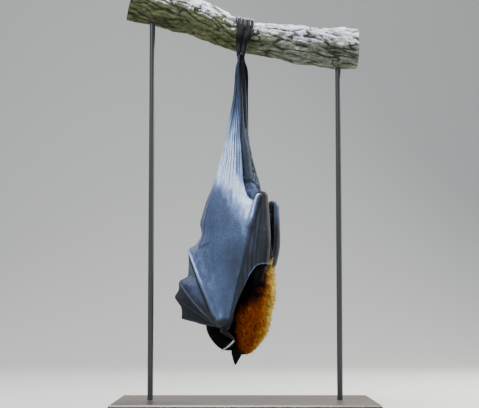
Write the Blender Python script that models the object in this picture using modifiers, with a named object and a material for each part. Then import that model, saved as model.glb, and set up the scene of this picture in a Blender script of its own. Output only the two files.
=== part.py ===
"""A large flying fox asleep on a cut length of branch, on a display stand.

The bat hangs head down by both feet with its wings wrapped round it. Its own frame has u towards the
belly, s towards its right side and z up, in millimetres from the middle of the branch at the grip. An
empty turns that frame to show the right side and a little of the back.
"""
import math

import bmesh
import bpy
from mathutils import Matrix, Vector

MM = 0.001

# ---- driving dimensions (millimetres) ----
PERCH_HEIGHT = 530.0            # middle of the branch above the floor
PERCH_HALF_LENGTH = 160.0
GRIP_RADIUS = 22.5              # of the branch where the feet hold it
TURN = math.radians(163)        # of the bat about the vertical
STANDOFF = 25.0                 # the bat's own axis hangs this far in front of the branch's
GAP = 0.4                       # left between neighbouring pieces
FOOT_ROOM = 1.2                 # of a sole or toe off the round of the branch, which is faceted

BASE_LENGTH, BASE_DEPTH, BASE_THICK = 360.0, 220.0, 18.0
ROD_RADIUS = 4.0
ROD_X = 132.0
SOCKET_DEPTH = 12.0

ELBOW = Vector((-30, 31, -225))
WRIST = Vector((18, 42, -413))
FOREARM_RADIUS = 5.5
MEMBRANE = 1.0                  # thickness of the wing skin in the solids

BRAINCASE = Vector((27, 0, -424))
FACE = Vector((0.68, 0, 0.733)).normalized()      # from braincase to nose
CROWN = Vector((0.733, 0, -0.68)).normalized()    # away from the throat
EYE_RADIUS = 6.2


# ---- small tools ----
def smooth(table, x):
    """Read a table of (x, value, value...) rows at x, on a smooth curve through its rows."""
    rows = sorted(table)
    x = min(max(x, rows[0][0]), rows[-1][0])
    i = max(k for k in range(len(rows) - 1) if rows[k][0] <= x)
    a, b = rows[max(i - 1, 0)], rows[i]
    c, d = rows[i + 1], rows[min(i + 2, len(rows) - 1)]
    h = c[0] - b[0]
    t = (x - b[0]) / h
    out = []
    for k in range(1, len(b)):
        slope_b = (c[k] - a[k]) / (c[0] - a[0]) * h
        slope_c = (d[k] - b[k]) / (d[0] - b[0]) * h
        out.append((2 * t**3 - 3 * t**2 + 1) * b[k] + (t**3 - 2 * t**2 + t) * slope_b
                   + (3 * t**2 - 2 * t**3) * c[k] + (t**3 - t**2) * slope_c)
    return out[0] if len(out) == 1 else out


def material(name, colour, roughness, metallic=0.0):
    """A plain Principled finish."""
    found = bpy.data.materials.get(name)
    if found:
        return found
    made = bpy.data.materials.new(name)
    made.use_nodes = True
    shader = made.node_tree.nodes["Principled BSDF"]
    shader.inputs["Base Color"].default_value = (*colour, 1.0)
    shader.inputs["Roughness"].default_value = roughness
    shader.inputs["Metallic"].default_value = metallic
    return made


DARK_FUR = ("dark_fur", (0.02, 0.016, 0.013), 0.85)
MANTLE_FUR = ("mantle_fur", (0.40, 0.13, 0.015), 0.85)
SKIN = ("bare_skin", (0.045, 0.04, 0.038), 0.5)
WING_SKIN = ("wing_membrane", (0.075, 0.085, 0.105), 0.42)
EYE = ("eye", (0.06, 0.018, 0.004), 0.06)
BARK = ("bark", (0.30, 0.29, 0.24), 0.9)
STAND = ("stand_paint", (0.03, 0.03, 0.032), 0.4)


def keep(name, mesh_data, finish, parent, collection):
    """Put a bmesh in the scene as one object in metres, faces out."""
    bmesh.ops.recalc_face_normals(mesh_data, faces=mesh_data.faces)
    bmesh.ops.scale(mesh_data, vec=(MM, MM, MM), verts=mesh_data.verts)
    mesh = bpy.data.meshes.new(name)
    mesh_data.to_mesh(mesh)
    mesh_data.free()
    mesh.materials.append(material(*finish))
    mesh.shade_smooth()
    mesh.set_sharp_from_angle(angle=math.radians(50))
    piece = bpy.data.objects.new(name, mesh)
    piece.parent = parent
    collection.objects.link(piece)
    return piece


def loft(rings):
    """Join rings of points into one closed skin, with a flat cap at each end."""
    made = bmesh.new()
    loops = [[made.verts.new(p) for p in ring] for ring in rings]
    count = len(loops[0])
    for low, high in zip(loops, loops[1:]):
        for k in range(count):
            made.faces.new((low[k], low[(k + 1) % count], high[(k + 1) % count], high[k]))
    made.faces.new(loops[0])
    made.faces.new(loops[-1])
    return made


def limb(points, radii, sides=10, grow=0.0):
    """A tapered round limb along a smooth path through a few points."""
    stations = [(k, *p, r) for k, (p, r) in enumerate(zip(points, radii))]
    steps = (len(points) - 1) * 2
    path = [smooth(stations, 0.5 * k) for k in range(steps + 1)]
    centres = [Vector(row[:3]) for row in path]
    rings = []
    side = None
    for k, centre in enumerate(centres):
        along = (centres[min(k + 1, steps)] - centres[max(k - 1, 0)]).normalized()
        if side is None:
            side = along.orthogonal().normalized()
        side = (side - along * side.dot(along)).normalized()
        across = along.cross(side)
        radius = path[k][3] + grow
        end = -grow if k == 0 else grow if k == steps else 0.0
        rings.append([centre + along * end + radius * (side * math.cos(a) + across * math.sin(a))
                      for a in (2 * math.pi * n / sides for n in range(sides))])
    return loft(rings)


def ball(centre, radius, segments=9):
    made = bmesh.new()
    bmesh.ops.create_uvsphere(made, u_segments=segments, v_segments=segments * 2 // 3, radius=radius,
                              matrix=Matrix.Translation(centre))
    return made


def subtract(piece, cutter, operation="DIFFERENCE"):
    """Leave a Boolean on the piece; the cutter is a guide that the build leaves out."""
    cutter.hide_render = True
    cutter.display_type = "WIRE"
    step = piece.modifiers.new(operation.title() + "_" + cutter.name, "BOOLEAN")
    step.operation = operation
    step.object = cutter
    return piece


# ---- body: sections across the trunk, neck and head ----
# height, middle, half depth, half width
TRUNK = [(-136, 4, 6, 8), (-150, 4, 9, 12), (-185, 2, 15.5, 18), (-220, -1, 22, 22), (-260, -4, 27, 26),
         (-300, -6.5, 31, 28.5), (-340, -7.5, 35, 31), (-370, -8, 34.5, 31), (-386, -6, 32.5, 30)]
NECK = [(-386, -6, 32.5, 30), (-400, -4, 31, 28.5), (-415, -4, 27.5, 26), (-428, -2, 24, 23),
        (-438, 0, 19, 18), (-446, 3, 10, 10), (-449, 5, 3, 3)]
# distance from the middle of the braincase towards the nose, shift to the crown, half height, half width
HEAD = [(-20, 0, 3, 3), (-17.5, 0, 10, 10), (-12, 0, 15.5, 16), (-2, 0, 19.5, 19.5), (10, 0.5, 19, 20),
        (22, 0, 16.5, 17.5), (34, -2, 12, 12), (46, -3.5, 9.5, 9.5), (54, -4, 8, 8.5), (59, -4.5, 4.5, 5)]


def trunk_rings(table, top, bottom, steps, sides=18):
    rings = []
    for k in range(steps + 1):
        z = top + (bottom - top) * k / steps
        middle, depth, width = smooth(table, z)
        rings.append([Vector((middle + depth * math.cos(a), width * math.sin(a), z))
                      for a in (2 * math.pi * n / sides for n in range(sides))])
    return rings


def head_rings(grow=0.0, steps=12, sides=16):
    first, last = HEAD[0][0], HEAD[-1][0]
    rings = []
    for k in range(steps + 1):
        reach = first + (last - first) * 0.5 * (1 - math.cos(math.pi * k / steps))
        shift, height, width = smooth(HEAD, reach)
        end = -grow if k == 0 else grow if k == steps else 0.0
        centre = BRAINCASE + FACE * (reach + end) + CROWN * shift
        rings.append([centre + CROWN * (height + grow) * math.cos(a)
                      + Vector((0, (width + grow) * math.sin(a), 0))
                      for a in (2 * math.pi * n / sides for n in range(sides))])
    return rings


def ear(side, grow=0.0):
    """A pointed ear: a shallow leaf that starts as a short tube on the head."""
    root = Vector((15, side * 16, -430))
    tip = Vector((20, 37, -442.5)) if side > 0 else Vector((24, -31, -464))
    along = (tip - root).normalized()
    across = along.cross(FACE * 0.6 + Vector((0, side * 0.8, 0))).normalized()
    front = across.cross(along)
    # share of the length, half breadth, half thickness, bow
    shape = [(0, 7.5, 3.2, 0), (0.25, 8.6, 2.2, -1.5), (0.5, 7.4, 1.6, -2), (0.75, 4.4, 1.2, -1.2),
             (1, 0.7, 0.6, 0)]
    rings = []
    steps, sides = 8, 10
    for k in range(steps + 1):
        share = k / steps
        breadth, thick, bow = smooth(shape, share)
        end = -grow if k == 0 else grow if k == steps else 0.0
        centre = root.lerp(tip, share) + front * bow + along * end
        rings.append([centre + across * (breadth + grow) * math.cos(a)
                      + front * ((thick + grow) * math.sin(a) - bow * 0.8 * math.cos(a) ** 2)
                      for a in (2 * math.pi * n / sides for n in range(sides))])
    return loft(rings)


# ---- limbs: middle of each section and its radius; sided() mirrors those given for the right side ----
LEG = {
    1: [(-7, 13, -206, 9.5), (-3, 14, -168, 8.5), (2, 11, -128, 6.0), (5, 7, -88, 4.4), (6.8, 5.2, -52, 3.3),
        (7.9, 6.6, -27, 2.9)],
    -1: [(-7, -13, -206, 9.5), (1.5, -13, -168, 8.0), (3.5, -11, -128, 5.8), (3, -4.5, -88, 4.4),
         (1.6, 1.2, -52, 3.2), (1.6, 4.2, -27, 2.9)],
}
UPPER_ARM = {
    1: [(-35, 32, -236, 5.6), (-37, 35.5, -264, 6.8), (-37.5, 37, -300, 7.6), (-27, 29, -344, 9.5)],
    -1: [(-34, 30.5, -243, 5.2), (-33.8, 32, -268, 6.0), (-32.5, 33, -303, 6.5), (-22, 26, -344, 8.5)],
}
FOREARM = {
    1: [(-33, 31, -227, 4.2), (-31, 31.5, -233, 6.2), (-22.5, 33.5, -264, 5.6), (-8, 36.5, -316, 5.4),
        (5, 39.5, -370, 5.6), (13.5, 41.5, -406, 6.4), (18, 42, -415, 4.8)],
    -1: [(-31, 30, -235, 4.2), (-29.5, 31, -242, 6.0), (-21.5, 33.5, -268, 5.6), (-7, 36.5, -316, 5.2),
         (7, 39.5, -370, 4.8), (16, 41.5, -406, 5.4), (19, 42, -415, 4.6)],
}
THUMB = [(17, 43, -420.3, 3.2), (11, 43.5, -423.5, 2.5), (6, 44.5, -426.5, 2.1), (4, 45, -430.5, 1.6),
         (9.5, 45, -436, 1.2), (16.5, 44.5, -440.5, 1.0), (22, 43, -444.5, 0.6)]


def sided(table, side):
    points = [Vector((u, s * side, z)) for u, s, z, _ in table]
    return points, [row[3] for row in table]


# ---- wings: rows from the leading edge at the wrist up to the ankles ----
# height and place of the front fold: second finger, knuckles of the third, fourth and fifth, then the wrap
FRONT = [(-399, 101, -21), (-369.5, 112, -25), (-348.5, 105, -20), (-304, 88.5, -17), (-293, 76, -14.5),
         (-281, 67.5, -12), (-265.5, 68.5, -9), (-250, 62, -6), (-233.5, 54.5, -3), (-220, 47, -1),
         (-206, 41.5, 0), (-180, 33.2, 0.5), (-149, 26, 1), (-103, 17.5, 2), (-73, 14.8, 3), (-52, 13.5, 4),
         (-33, 12, 5)]
# where each wing's skin leaves the leg and flank, by side
FLANK = {
    1: [(-247, -18.5, 33), (-241.5, -21.5, 32), (-237, -16, 31), (-230, -10.5, 30), (-214, -6, 28.5),
        (-183, -3, 25.5), (-166, -1.5, 24), (-149, 1, 21.5), (-128, 1.5, 18.5), (-103, 2, 14.8),
        (-73, 4, 11.5), (-52, 6, 9.8), (-33, 6.5, 10.4)],
    -1: [(-252, -19.5, 33), (-246, -21, 32), (-240, -14, 31), (-232, -9, 30), (-212, -5, 28),
         (-183, -3, 25.5), (-166, -1.5, 24), (-149, 1, 21.2), (-128, 1, 18.6), (-103, 0, 14.4),
         (-88, -0.8, 11.2), (-73, -2, 8)],
}
FAR_EDGE = [(-399, 46, -43), (-366, 42, -45), (-343, 38, -46), (-300, 30, -45), (-266, 24, -42),
            (-232, 16, -38), (-206, 12, -33), (-183, 9, -29.5), (-149, 6, -25.5), (-128, 5, -22),
            (-103, 4, -18.5), (-73, 1, -12), (-52, -1, -6), (-33, -2.5, -2.5)]
KNUCKLES = (-399, -369.5, -348.5, -304)
# between knuckles: how deep the free edge hangs in, by share of the way up
SCALLOPS = ([(0, 0), (0.5, 3.5), (1, 0)], [(0, 0), (0.5, 2.5), (1, 0)],
            [(0, 0), (0.1, 5.5), (0.206, 10.5), (0.35, 9), (0.65, 4), (1, 0)])
WING_TOP = {1: -46.0, -1: -76.0}
WEB_TOP, WEB_BOTTOM, WEB_ARCH = -282.0, -324.0, 5.0
FOLD_CUT = 0.03                 # share of a row left out on each side of the front fold
# height of a row at the arm or flank, by its height at the front fold
REAR_HEIGHT = [(-399, -411), (-300, -312), (-240, -243), (-206, -206), (-33, -33)]


def scallop(z):
    """How far the front edge is drawn back between two knuckles."""
    for low, high, depth in zip(KNUCKLES, KNUCKLES[1:], SCALLOPS):
        if low < z < high:
            return smooth(depth, (z - low) / (high - low))
    return 0.0


def wing_row(z, side, inside):
    """Rear, side, front, far-side and end points of one row; z is the height at the front fold.

    The right wing lies outside; the left one folds under it, with its fingers drawn back inside.
    """
    wrap = max(0.0, min(1.0, (z + 399) / 170))      # 0 where the fingers fold flat, 1 where the skin is round
    rear_z = smooth(REAR_HEIGHT, z)
    if rear_z < FLANK[side][0][0]:
        share = max((rear_z - ELBOW.z) / (WRIST.z - ELBOW.z), 0.0)
        rear = ELBOW.lerp(WRIST, share) + Vector((FOREARM_RADIUS + 1.4, 0.5, 0))
    else:
        rear = Vector((*smooth(FLANK[side], rear_z), 0))
    rear.z = rear_z
    front_u, front_s = smooth(FRONT, z)
    front = Vector((front_u - scallop(z), front_s, z))
    end = Vector((*smooth(FAR_EDGE, z), z + 8 * (1 - wrap)))
    belly = 4.0                                     # how far the far side stands out from a straight fold
    if inside:
        room = max(0.0, min(1.0, (-95 - z) / 60))   # 0 near the ankles, where nothing folds back
        pull = 3 + 16 * (1 - wrap) ** 0.7
        front = Vector((front.x - pull, -front.y * 0.55 - 4 * wrap * room, z))
        deep = Vector((front.x * 0.62, 14 * (1 - wrap) - 0.55 * rear.y * wrap, z))
        short = Vector((front.x * 0.9, front.y - 2.5, z))
        end = short.lerp(deep, room)
        belly = 5.0
    flat_side = rear.lerp(front, 0.5) + Vector((5, 9, 0))
    round_side = Vector((front.x, rear.y + 4, (rear.z + front.z) / 2))
    flat_far = front.lerp(end, 0.5) - Vector((0, belly, 0))
    round_far = Vector((front.x, end.y, (front.z + end.z) / 2))
    points = (rear, flat_side.lerp(round_side, wrap), front, flat_far.lerp(round_far, wrap), end)
    return [Vector((p.x, p.y * side, p.z)) for p in points]


def arc(a, b, c, t):
    """Point at t on the curve from a to c that leans towards b."""
    return a * (1 - t) ** 2 + b * 2 * t * (1 - t) + c * t ** 2


def row_heights(side):
    """Heights of the rows at the front fold, with one on every knuckle."""
    stops = (*KNUCKLES, -232, WING_TOP[side])
    heights = [stops[0]]
    for low, high, count in zip(stops, stops[1:], (2, 2, 4, 3, 7)):
        heights += [low + (high - low) * k / count for k in range(1, count + 1)]
    return heights


def open_grid(rows):
    """A sheet of four-sided faces through rows of points."""
    made = bmesh.new()
    grid = [[made.verts.new(p) for p in row] for row in rows]
    for low, high in zip(grid, grid[1:]):
        for n in range(len(low) - 1):
            made.faces.new((low[n], low[n + 1], high[n + 1], high[n]))
    return made


def wing_sheet(side, part, columns=9):
    """One wing's skin: 'palm' from arm to front fold, 'tip' from the fold round the far side."""
    grid = []
    for z in row_heights(side):
        rear, near, front, far, end = wing_row(z, side, inside=side < 0)
        shares = [n / columns * (1 - FOLD_CUT) for n in range(columns + 1)]
        if part == "palm":
            grid.append([arc(rear, near, front, t) for t in shares])
        else:
            grid.append([arc(front, far, end, FOLD_CUT + t) for t in shares])
    return open_grid(grid)


def at_height(table, z):
    """Middle and radius of a limb where it passes a height."""
    u, s, radius = smooth([(row[2], row[0], row[1], row[3]) for row in table], z)
    return Vector((u, s, z)), radius


def front_web(side, rows=5, columns=4):
    """The small web between upper arm and forearm, with an arched free edge below."""
    grid = []
    for k in range(rows + 1):
        line = []
        for n in range(columns + 1):
            t = n / columns
            edge = WEB_BOTTOM + WEB_ARCH * math.sin(math.pi * t)
            z = WEB_TOP + (edge - WEB_TOP) * k / rows
            arm, arm_radius = at_height(UPPER_ARM[side], z)
            fore, fore_radius = at_height(FOREARM[side], z)
            start = arm + Vector((arm_radius + 1.2, 0, 0))
            finish = fore - Vector((fore_radius + 1.2, 0, 0))
            point = start.lerp(finish, t)
            line.append(Vector((point.x, side * (point.y - 1.5 * math.sin(math.pi * t)), z)))
        grid.append(line)
    return open_grid(grid)


# ---- feet: a short sole on the front of the branch, five toes over its top ----
FOOT = {1: (-9.5, -6.6), -1: (-3.0, 6.9)}       # X at the ankle and at the toes


def over_branch(x, angle, out):
    """A point over the branch, angle up from its front face, out from its surface."""
    reach = GRIP_RADIUS + FOOT_ROOM + out
    return Vector((x, -reach * math.cos(angle), smooth(BRANCH_LINE, x) + reach * math.sin(angle)))


def foot(side, collection, parent):
    ankle_x, toe_x = FOOT[side]
    path = []
    for k in range(5):
        share = k / 4
        x = ankle_x + (toe_x - ankle_x) * share
        path.append((over_branch(x, math.radians(-40 + 52 * share), 5.4 - 1.4 * share), 3.4 + 0.6 * share))
    path[0] = (Vector((ankle_x, -29.0, -24.0)), 3.0)
    sides = 10
    rings = []
    for k, (centre, radius) in enumerate(path):
        spread = 1.0 + 0.4 * k / 4
        rings.append([centre + Vector((radius * spread * math.cos(a), radius * 0.9 * math.sin(a), 0))
                      for a in (2 * math.pi * n / sides for n in range(sides))])
    name = "foot_right" if side > 0 else "foot_left"
    sole = keep(name, loft(rings), SKIN, parent, collection)
    for n in range(5):
        offset = (n - 2) * 2.2
        bend = [(14, 2.6, 1.6), (42, 3.2, 1.4), (76, 6.2, 1.3), (98, 4.0, 1.0), (112, 1.4, 0.5)]
        points = []
        for degrees, out, _ in bend:
            spread = 0.8 + 0.3 * degrees / 100
            points.append(over_branch(toe_x + offset * spread, math.radians(degrees - 3 * abs(n - 2)), out))
        toe = keep(f"{name}_toe_{n}", limb(points, [row[2] for row in bend], sides=5), SKIN, parent, CUTTERS)
        subtract(sole, toe, "UNION")
    return sole


# ---- branch and stand ----
BRANCH_LINE = [(-170, 56), (-123, 42), (-66, 26), (-10, 2), (18, -3), (75, -11), (145, -17), (170, -18)]
BRANCH_RADIUS = [(-170, 26), (-66, 26), (-12, 22.5), (14, 22.5), (75, 26), (145, 28), (170, 28)]


def branch_rings(steps=20, sides=16):
    rings = []
    for k in range(steps + 1):
        x = -PERCH_HALF_LENGTH + 2 * PERCH_HALF_LENGTH * k / steps
        height = smooth(BRANCH_LINE, x)
        slope = (smooth(BRANCH_LINE, x + 4) - smooth(BRANCH_LINE, x - 4)) / 8
        along = Vector((1, 0, slope)).normalized()
        up = Vector((-along.z, 0, along.x))
        away = min(1.0, max(0.0, (abs(x) - 26) / 30))
        radius = smooth(BRANCH_RADIUS, x)
        ring = []
        for n in range(sides):
            a = 2 * math.pi * n / sides
            lump = away * (1.3 * math.sin(3 * a + x * 0.05) + 1.0 * math.sin(x * 0.11 + 2 * a))
            away_from_axis = up * math.cos(a) + Vector((0, math.sin(a), 0))
            ring.append(Vector((x, 0, height)) + (radius + lump) * away_from_axis)
        rings.append(ring)
    return rings


def rod(name, x, radius, low, high, finish, collection):
    """An upright round bar, heights above the floor."""
    made = bmesh.new()
    bmesh.ops.create_cone(made, cap_ends=True, segments=20, radius1=radius, radius2=radius, depth=high - low,
                          matrix=Matrix.Translation((x, 0, (low + high) / 2)))
    return keep(name, made, finish, None, collection)


def stand(collection, branch):
    made = bmesh.new()
    bmesh.ops.create_cube(made, size=1.0, matrix=Matrix.Translation((0, 0, BASE_THICK / 2))
                          @ Matrix.Diagonal((BASE_LENGTH, BASE_DEPTH, BASE_THICK, 1)))
    base = keep("stand_base", made, STAND, None, collection)
    rounded = base.modifiers.new("rounded_edges", "BEVEL")
    rounded.width = 2 * MM
    rounded.segments = 1
    for label, x in (("left", -ROD_X), ("right", ROD_X)):
        low = BASE_THICK - SOCKET_DEPTH
        high = PERCH_HEIGHT + smooth(BRANCH_LINE, x) - smooth(BRANCH_RADIUS, x) + SOCKET_DEPTH
        rod(f"stand_rod_{label}", x, ROD_RADIUS, low + GAP, high - GAP, STAND, collection)
        for holder in (base, branch):
            end = (low, BASE_THICK + 5) if holder is base else (high - 60, high)
            hole = rod(f"{holder.name}_socket_{label}", x, ROD_RADIUS + GAP, *end, STAND, CUTTERS)
            subtract(holder, hole)


# ---- the whole model ----
for old in list(bpy.data.objects):
    bpy.data.objects.remove(old)
MODEL = bpy.data.collections.new("sleeping_flying_fox")
CUTTERS = bpy.data.collections.new("cutters")
bpy.context.scene.collection.children.link(MODEL)
bpy.context.scene.collection.children.link(CUTTERS)

grip = bpy.data.objects.new("grip", None)
grip.location = (0, 0, PERCH_HEIGHT * MM)
bat = bpy.data.objects.new("bat", None)
bat.location = (0, -STANDOFF * MM, PERCH_HEIGHT * MM)
bat.rotation_euler = (0, 0, TURN)
for empty in (grip, bat):
    MODEL.objects.link(empty)

perch = keep("perch", loft(branch_rings()), BARK, grip, MODEL)
stand(MODEL, perch)

trunk = keep("trunk", loft(trunk_rings(TRUNK, TRUNK[0][0], TRUNK[-1][0] + GAP, 11)), DARK_FUR, bat, MODEL)
neck = keep("neck", loft(trunk_rings(NECK, NECK[0][0], NECK[-1][0], 8)), MANTLE_FUR, bat, MODEL)
head = keep("head", loft(head_rings()), DARK_FUR, bat, MODEL)
head_cutter = keep("head_cutter", loft(head_rings(GAP)), DARK_FUR, bat, CUTTERS)
subtract(neck, head_cutter)

for side, label in ((1, "right"), (-1, "left")):
    eye_at = BRAINCASE + FACE * 23 + CROWN * 4.5 + Vector((0, side * 11.7, 0))
    keep(f"eye_{label}", ball(eye_at, EYE_RADIUS), EYE, bat, MODEL)
    subtract(head, keep(f"eye_socket_{label}", ball(eye_at, EYE_RADIUS + GAP), EYE, bat, CUTTERS))

    ear_piece = keep(f"ear_{label}", ear(side), SKIN, bat, MODEL)
    subtract(ear_piece, head_cutter)
    subtract(neck, keep(f"ear_slot_{label}", ear(side, GAP), SKIN, bat, CUTTERS))

    leg_points = [Vector(row[:3]) for row in LEG[side]]
    leg_radii = [row[3] for row in LEG[side]]
    keep(f"leg_{label}", limb(leg_points, leg_radii), DARK_FUR, bat, MODEL)
    subtract(trunk, keep(f"leg_room_{label}", limb(leg_points, leg_radii, grow=GAP), DARK_FUR, bat, CUTTERS))
    foot(side, MODEL, grip)

    shoulder_to_elbow, elbow_to_wrist = sided(UPPER_ARM[side], side), sided(FOREARM[side], side)
    upper = keep(f"upper_arm_{label}", limb(*shoulder_to_elbow), DARK_FUR, bat, MODEL)
    shoulder_room = keep(f"shoulder_room_{label}", limb(*shoulder_to_elbow, grow=GAP), DARK_FUR, bat, CUTTERS)
    subtract(trunk, shoulder_room)
    keep(f"forearm_{label}", limb(*elbow_to_wrist), SKIN, bat, MODEL)
    subtract(upper, keep(f"elbow_room_{label}", limb(*elbow_to_wrist, grow=GAP), SKIN, bat, CUTTERS))
    keep(f"thumb_{label}", limb(*sided(THUMB, side), sides=8), SKIN, bat, MODEL)

    sheets = {f"wing_palm_{label}": wing_sheet(side, "palm"), f"wing_tip_{label}": wing_sheet(side, "tip"),
              f"front_web_{label}": front_web(side)}
    for name, skin in sheets.items():
        sheet = keep(name, skin, WING_SKIN, bat, MODEL)
        thick = sheet.modifiers.new("membrane", "SOLIDIFY")
        thick.thickness = MEMBRANE * MM
        thick.offset = 0.0
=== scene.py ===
# %% [markdown]
# # A flying fox asleep on its branch
# A large fruit bat hangs head down by both feet, with its leathery wings folded round it like a cloak. The
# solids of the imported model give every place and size; this file makes the looks. All shapes below are
# worked out in the bat's own frame, in millimetres: u points to the belly, s to the bat's right side, z up,
# measured from the middle of the branch where the feet hold it.

# %% The frame and its bounds
import math

import bmesh
import bpy
import numpy as np
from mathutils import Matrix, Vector, kdtree


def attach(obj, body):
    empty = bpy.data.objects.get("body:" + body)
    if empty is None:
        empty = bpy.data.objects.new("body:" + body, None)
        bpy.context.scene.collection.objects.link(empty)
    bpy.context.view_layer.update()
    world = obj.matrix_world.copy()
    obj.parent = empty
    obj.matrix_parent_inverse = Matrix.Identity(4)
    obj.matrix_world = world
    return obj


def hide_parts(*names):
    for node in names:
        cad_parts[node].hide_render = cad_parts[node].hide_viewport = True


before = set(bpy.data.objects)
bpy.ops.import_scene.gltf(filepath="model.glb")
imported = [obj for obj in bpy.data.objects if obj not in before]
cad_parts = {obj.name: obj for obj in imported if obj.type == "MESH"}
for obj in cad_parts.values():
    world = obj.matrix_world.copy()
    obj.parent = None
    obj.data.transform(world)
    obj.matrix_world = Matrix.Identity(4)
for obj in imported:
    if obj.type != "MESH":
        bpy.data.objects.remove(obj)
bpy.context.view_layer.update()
MM = 0.001
RANDOM = np.random.default_rng(7)

GRIP = np.array([0.0, 0.0, 0.530])              # middle of the branch at the feet
STANDOFF = 0.025                                # the bat's own axis hangs this far in front of it
TURN = math.radians(163)                        # of the bat about the vertical
SIDES = ((1, "right"), (-1, "left"))            # the sign of s on each side of the bat


# %% [markdown]
# ## Camera, floor and light
# The camera stands low and looks up a little, as one does at a bat in a tree. A long lens keeps the shape
# true. Nothing here belongs to the object, so the floor is staged.

# %% Camera
def add_object(name, data):
    """A new object in the scene, at the origin."""
    thing = bpy.data.objects.new(name, data)
    bpy.context.scene.collection.objects.link(thing)
    return thing


def look_at(thing, target):
    """Turn a camera or lamp to face a point."""
    thing.rotation_euler = (Vector(target) - thing.location).to_track_quat("-Z", "Y").to_euler()


AIM = Vector((-0.0078, -0.045, 0.2875))
CAMERA_REACH = 1.75
CAMERA_DIP = math.radians(5)
FRAME_WIDTH = 0.658                             # metres seen across the frame at the bat
SENSOR_WIDTH = 36                               # millimetres

camera = add_object("camera", bpy.data.cameras.new("camera"))
camera.location = AIM + CAMERA_REACH * Vector((0, -math.cos(CAMERA_DIP), -math.sin(CAMERA_DIP)))
camera.data.lens = SENSOR_WIDTH * CAMERA_REACH / FRAME_WIDTH
camera.data.clip_start = 0.01
look_at(camera, AIM)
bpy.context.scene.camera = camera


# %% Lamps and sky
def softbox(name, place, size, power, colour=(1, 1, 1)):
    """A square lamp that faces the bat."""
    lamp = add_object(name, bpy.data.lights.new(name, "AREA"))
    lamp.location = place
    lamp.data.size = size
    lamp.data.energy = power
    lamp.data.color = colour
    look_at(lamp, AIM)
    return lamp


softbox("key_left_front", (-1.15, -1.35, 1.55), 0.5, 52, (0.84, 0.92, 1.0))
softbox("top", (-0.15, -0.55, 2.5), 0.8, 95, (0.90, 0.95, 1.0))
softbox("rim_right_back", (1.25, 0.55, 1.25), 0.6, 135, (1.0, 0.96, 0.88))
softbox("fill_right", (1.6, -1.5, 0.6), 1.2, 4)
softbox("back_left", (-1.4, 1.5, 1.1), 1.2, 12)
wash = softbox("backdrop_wash", (0.0, 0.9, 2.6), 1.4, 30)
wash.rotation_euler = (math.radians(38), 0, 0)  # turned away from the bat, to the backdrop

world = bpy.data.worlds.new("pale_room")
bpy.context.scene.world = world
world.use_nodes = True
sky = world.node_tree.nodes["Background"]
sky.inputs["Color"].default_value = (0.80, 0.83, 0.86, 1)
sky.inputs["Strength"].default_value = 0.12

# %% [markdown]
# ## Finishes
# Each finish is a small node tree that reads Object coordinates or a painted attribute of its piece. The
# helpers keep every tree short: noise, cells, ramps of colour, blends by a value, and bumps.


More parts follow.
